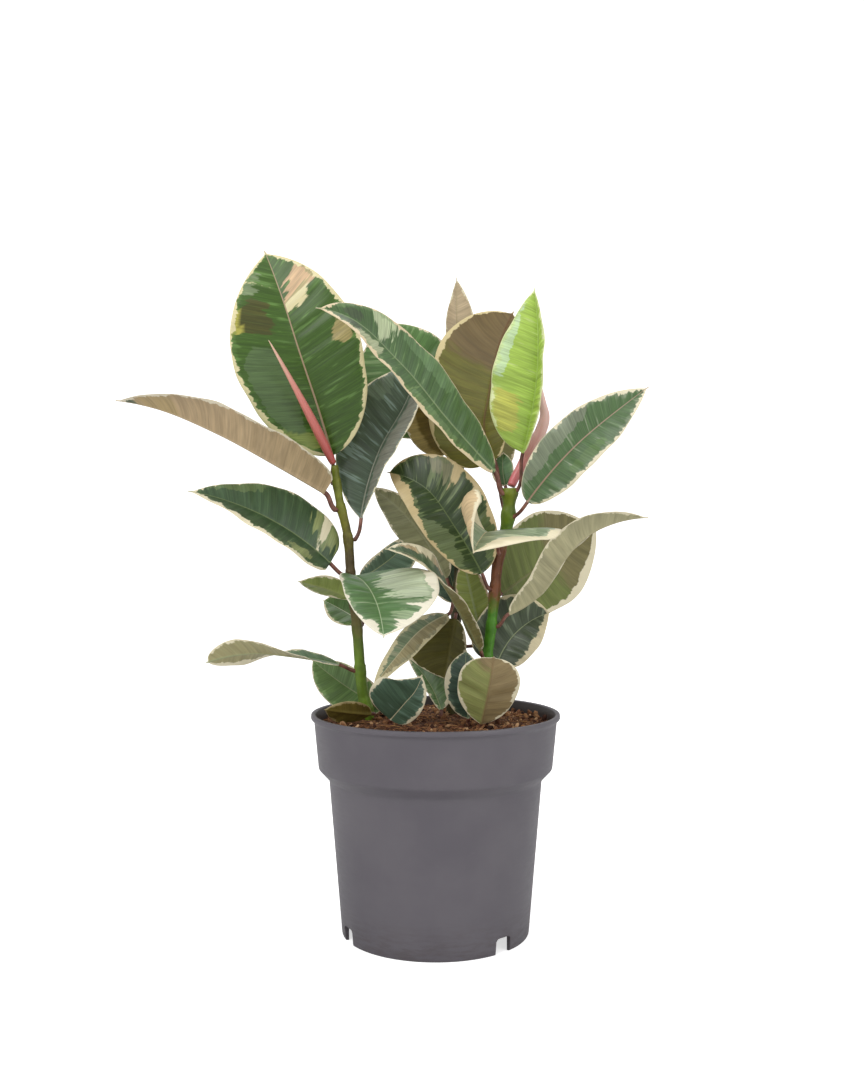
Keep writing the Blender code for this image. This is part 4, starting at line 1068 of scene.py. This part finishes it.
def drill_floor(pot):
    """Cuts the drain holes: one in the middle of the floor and six around it."""
    turns = [math.radians(60 * i + 15) for i in range(6)]
    middles = [(0, 0)] + [(DRAIN_HOLE_RING * math.cos(a), DRAIN_HOLE_RING * math.sin(a)) for a in turns]
    drills = bmesh.new()
    radius = DRAIN_HOLE_RADIUS * MM
    for x, y in middles:
        middle = Vector((x + POT_AXIS[0], y + POT_AXIS[1], FLOOR_UNDERSIDE + FLOOR_THICKNESS / 2)) * MM
        bmesh.ops.create_cone(drills, cap_ends=True, segments=40, radius1=radius, radius2=radius,
                              depth=14 * MM, matrix=Matrix.Translation(middle))
    tool = bpy.data.objects.new("drain_hole_drills", bpy.data.meshes.new("drain_hole_drills"))
    drills.to_mesh(tool.data)
    drills.free()
    bpy.context.scene.collection.objects.link(tool)
    cut = pot.modifiers.new("drain_holes", "BOOLEAN")
    cut.object = tool
    drilled = bpy.data.meshes.new_from_object(pot.evaluated_get(bpy.context.evaluated_depsgraph_get()))
    pot.modifiers.clear()
    pot.data = drilled
    bpy.data.objects.remove(tool)


def pot_piece(plastics):
    """The moulded pot, turned from its outline, with notches in its foot ring and holes in its floor."""
    outline = pot_outline()
    turns = list(np.linspace(0, 360, POT_SIDES, endpoint=False))
    half = math.degrees(NOTCH_WIDTH / 2 / BASE_RADIUS)
    for angle in NOTCH_ANGLES:
        for side in (-1, 1):
            # close steps on both sides of a notch's edge keep it crisp
            turns += [angle - 90 + side * (half + step) for step in (-1.6, -1.0, -0.5, -0.15, -0.02, 0.02)]
    turns = sorted({round(turn % 360, 3) for turn in turns})
    rings = []
    for radius, height in outline:
        if radius == 0:
            rings.append([(0.0, 0.0, height)])
            continue
        ring = []
        for turn in turns:
            a = math.radians(turn)
            lifted = height if height >= FLOOR_UNDERSIDE else max(height, notch_top(turn))
            ring.append((radius * math.cos(a), radius * math.sin(a), lifted))
        rings.append(ring)
    faces, ring_of = turned_faces(rings, closed=True)
    inside = range(outline.index(LIP_INSIDE), outline.index((0, FLOOR_UNDERSIDE + FLOOR_THICKNESS)) + 1)
    # the inner faces take the second plastic, whose darker colours are painted shade of the inner wall
    finish = [int(ring in inside) for ring in ring_of]
    mesh = mesh_of("moulded_pot", [point for ring in rings for point in ring], faces, plastics, finish)
    weld(mesh)
    pot = piece_from("moulded_pot", mesh, ["nursery_pot"])
    drill_floor(pot)
    weld(pot.data)
    pot.data.set_sharp_from_angle(angle=math.radians(42))
    return pot


# ---- the potting mix ----
def soil_piece(peat_mix):
    """One closed body: a rough top over the plain root ball that the pot hides."""
    bottom = FLOOR_UNDERSIDE + FLOOR_THICKNESS + GAP
    wall = [(0, bottom), (62.2, bottom), (64.4 - GAP, bottom + 2.4), (70.9 - GAP, 104.1), (71.4 - GAP, 106.6),
            (76.6 - GAP, 112.25), (78.2 - GAP, 114.6), (80.5 - GAP, SOIL_LEVEL - 2.5)]
    turns = np.linspace(0, 2 * math.pi, SOIL_SIDES, endpoint=False)
    dice = np.random.default_rng(11)
    waves = [(dice.uniform(0.05, 1.3), dice.uniform(0, 2 * math.pi), dice.uniform(0, 2 * math.pi))
             for _ in range(60)]

    def rough(x, y):
        """Waves of many lengths and ways, the long ones the tallest."""
        height = np.zeros_like(x)
        for pace, way, phase in waves:
            along_it = x * math.cos(way) + y * math.sin(way)
            height = height + 0.16 / (0.25 + pace) * np.sin(pace * along_it + phase)
        return height

    rings = []
    for radius, height in wall:
        sides = turns if radius else turns[:1]
        rings.append([(radius * math.cos(a), radius * math.sin(a), height) for a in sides])
    for radius in 80.1 * np.sin(np.linspace(math.pi / 2, 0, SOIL_RINGS)):
        if radius == 0:
            rings.append([(0, 0, SOIL_LEVEL + SOIL_CROWN - 1)])
            continue
        x, y = radius * np.cos(turns), radius * np.sin(turns)
        level = SOIL_LEVEL - 0.6 + SOIL_CROWN * (1 - (radius / 80) ** 2) + 0.55 * rough(x, y)
        rings.append(list(zip(x, y, level)))
    faces, _ = turned_faces(rings, closed=False)
    mesh = mesh_of("potting_mix", [point for ring in rings for point in ring], faces, [peat_mix])
    return piece_from("potting_mix", mesh, ["soil"])


def loose_crumb(dice, ball):
    """Points of one crumb on the potting mix: a ball stretched, dented and turned."""
    radius = 78 * math.sqrt(dice.uniform())
    turn = dice.uniform(0, 2 * math.pi)
    size = float(np.clip(dice.lognormal(0.1, 0.5), 0.55, 2.6))
    stretch = np.array([1, dice.uniform(0.5, 0.9), dice.uniform(0.4, 0.75)]) * size
    ways = dice.normal(size=(5, 3))
    dents = sum(0.16 * np.sin(ball @ way * 1.8 + i) for i, way in enumerate(ways))
    # turned at random, but mostly lying on its flat side
    basis = np.linalg.qr(dice.normal(size=(3, 3)))[0]
    basis = np.linalg.qr(basis + np.diag([0, 0, 2.5]))[0]
    place = np.array([radius * math.cos(turn), radius * math.sin(turn), SOIL_LEVEL + 0.2 + 0.3 * size])
    room = 79.4 - size * 1.2
    if radius > room:
        place[:2] *= room / radius
    return (ball * (1 + dents)[:, None] * stretch) @ basis.T + place


def loose_fibre(dice, steps):
    """The middle line of one coir fibre on the potting mix, at these steps of its length."""
    radius = 74 * math.sqrt(dice.uniform())
    turn = dice.uniform(0, 2 * math.pi)
    heading = dice.uniform(0, 2 * math.pi)
    length = dice.uniform(5, 16)
    angles = heading + dice.uniform(-0.6, 0.6) * steps * 2
    x = radius * math.cos(turn) + length * steps * np.cos(angles)
    y = radius * math.sin(turn) + length * steps * np.sin(angles)
    z = SOIL_LEVEL + 1.2 + 0.8 * np.cos(steps * math.pi) + dice.uniform(-0.3, 1.0) * steps
    return np.stack([x, y, z], axis=1)


def crumbs_piece(crumb, fibre):
    """Crumbs of peat and bark, and coir fibres, pressed into the top of the potting mix."""
    dice = np.random.default_rng(23)
    points, faces, finish, tones = [], [], [], []
    shape = bmesh.new()
    bmesh.ops.create_icosphere(shape, subdivisions=2, radius=1)
    ball = np.array([v.co for v in shape.verts])
    ball_faces = [tuple(v.index for v in f.verts) for f in shape.faces]
    shape.free()
    for _ in range(CRUMBS):
        made = loose_crumb(dice, ball)
        faces += [tuple(len(points) + v for v in f) for f in ball_faces]
        points += list(made)
        finish += [0] * len(ball_faces)
        tones += [dice.uniform()] * len(ball)
    steps = np.linspace(-0.5, 0.5, 7)
    for _ in range(FIBRES):
        line = loose_fibre(dice, steps)
        if np.linalg.norm(line[:, :2], axis=1).max() > 79:
            continue  # it would lie across the pot's wall
        ways = np.gradient(line, axis=0)
        ways /= np.linalg.norm(ways, axis=1)[:, None]
        made = closed_tube(len(line), FIBRE_SIDES, len(points))
        points += list(tube(line, ways, np.interp(steps, [-0.5, 0, 0.5], [0.1, 0.24, 0.1]), FIBRE_SIDES))
        faces += made
        finish += [1] * len(made)
        tones += [dice.uniform()] * (len(line) * FIBRE_SIDES)
    mesh = mesh_of("peat_crumbs", points, faces, [crumb, fibre], finish, {"tone": tones})
    return piece_from("peat_crumbs", mesh, [])


# ---- studio ----
# In metres: each soft box's name, place, width and power in watts, and the point that they are aimed at.
SOFTBOXES = (("key_softbox", (-1.1, -1.5, 1.5), 1.3, 17.5),
             ("fill_softbox", (1.5, -1.2, 0.8), 1.3, 8.2),
             ("top_softbox", (0.1, 0.2, 1.7), 1.4, 9.3))
LIGHTS_AIM = (POT_AXIS[0] * MM - 0.03, 0, 0.24)
WORLD_LIGHT = 0.58
PAPER_GLOW = 0.66  # keeps the paper white to the eye
CAMERA_PLACE = ((POT_AXIS[0] - 2.4) * MM, -0.796, 0.267)
CAMERA_LENS = 38.67
CAMERA_SENSOR = 36.0


def paper_sweep():
    """A white paper sweep in metres: floor, a wide bend and a wall behind."""
    outline = [(-3.0, 0.0)] + [(y, 0.0) for y in np.linspace(-2.5, 1.5, 9)]
    outline += [(1.5 + math.sin(a), 1 - math.cos(a)) for a in np.linspace(0.1, math.pi / 2, 14)]
    outline += [(2.5, 4.0)]
    points = [(x, y, z) for y, z in outline for x in (-4.0, 4.0)]
    faces = [(2 * i, 2 * i + 1, 2 * i + 3, 2 * i + 2) for i in range(len(outline) - 1)]
    mesh = bpy.data.meshes.new("paper_sweep")
    mesh.from_pydata(points, [], faces)
    mesh.shade_smooth()
    mesh.materials.append(white_paper())
    sweep = bpy.data.objects.new("paper_sweep", mesh)
    bpy.context.scene.collection.objects.link(sweep)


def studio():
    """Even white light from all round, three soft boxes, the paper sweep and the camera."""
    scene = bpy.context.scene
    scene.view_settings.view_transform = "Standard"
    world = bpy.data.worlds.new("white_studio")
    scene.world = world
    world.use_nodes = True
    tree = world.node_tree
    seen = add(tree, "LightPath", output="Is Camera Ray")
    strength = add(tree, "MapRange", (seen, 0.0, 1.0, WORLD_LIGHT, 1.0))
    background = tree.nodes["Background"]
    background.inputs["Color"].default_value = linear("FFFFFF")
    tree.links.new(strength, background.inputs["Strength"])
    paper_sweep()

    for name, place, size, power in SOFTBOXES:
        light = bpy.data.lights.new(name, "AREA")
        light.size = size
        light.energy = power
        lamp = bpy.data.objects.new(name, light)
        scene.collection.objects.link(lamp)
        lamp.location = place
        lamp.rotation_euler = (Vector(LIGHTS_AIM) - Vector(place)).to_track_quat("-Z", "Y").to_euler()

    camera = bpy.data.cameras.new("camera")
    camera.lens = CAMERA_LENS
    camera.sensor_width = CAMERA_SENSOR
    camera.clip_start = 0.05
    camera.clip_end = 20
    eye = bpy.data.objects.new("camera", camera)
    scene.collection.objects.link(eye)
    eye.location = CAMERA_PLACE
    eye.rotation_euler = (math.pi / 2, 0, 0)
    scene.camera = eye


def build():
    """Makes every piece of the plant and its pot."""
    skins = [leaf_upper(), leaf_under(), leaf_stalk()]
    for name in LEAVES:
        leaf_piece(name, skins)
    for name, tones in BARKS.items():
        stem_piece(name, stem_bark(f"young_stem_bark_{name}", tones))
    for name, sheath in SHEATHS.items():
        sheath_piece(name, sheath_skin(f"rolled_bud_scale_{name}", *sheath["tones"]))
    pot_piece([pot_plastic("moulded_grey_polypropylene", "656167", "5D5960", "736F77", "4E4544"),
               # the inside's darker colours are painted shade: the inner wall lies in shade under the rim and
               # the leaves
               pot_plastic("pot_inside_painted_shade", "46403F", "3A3432", "5A504A", "33261F")])
    soil_piece(peat())
    crumbs_piece(crumb_skin("peat_and_bark_crumbs", ["2C150B", "5C3420", "7E5436", "A0744E", "D2AC84"], 0.95),
                 crumb_skin("coir_fibre", ["8A5A38", "B98A5A", "6A3A22"], 0.8))


build()
studio()
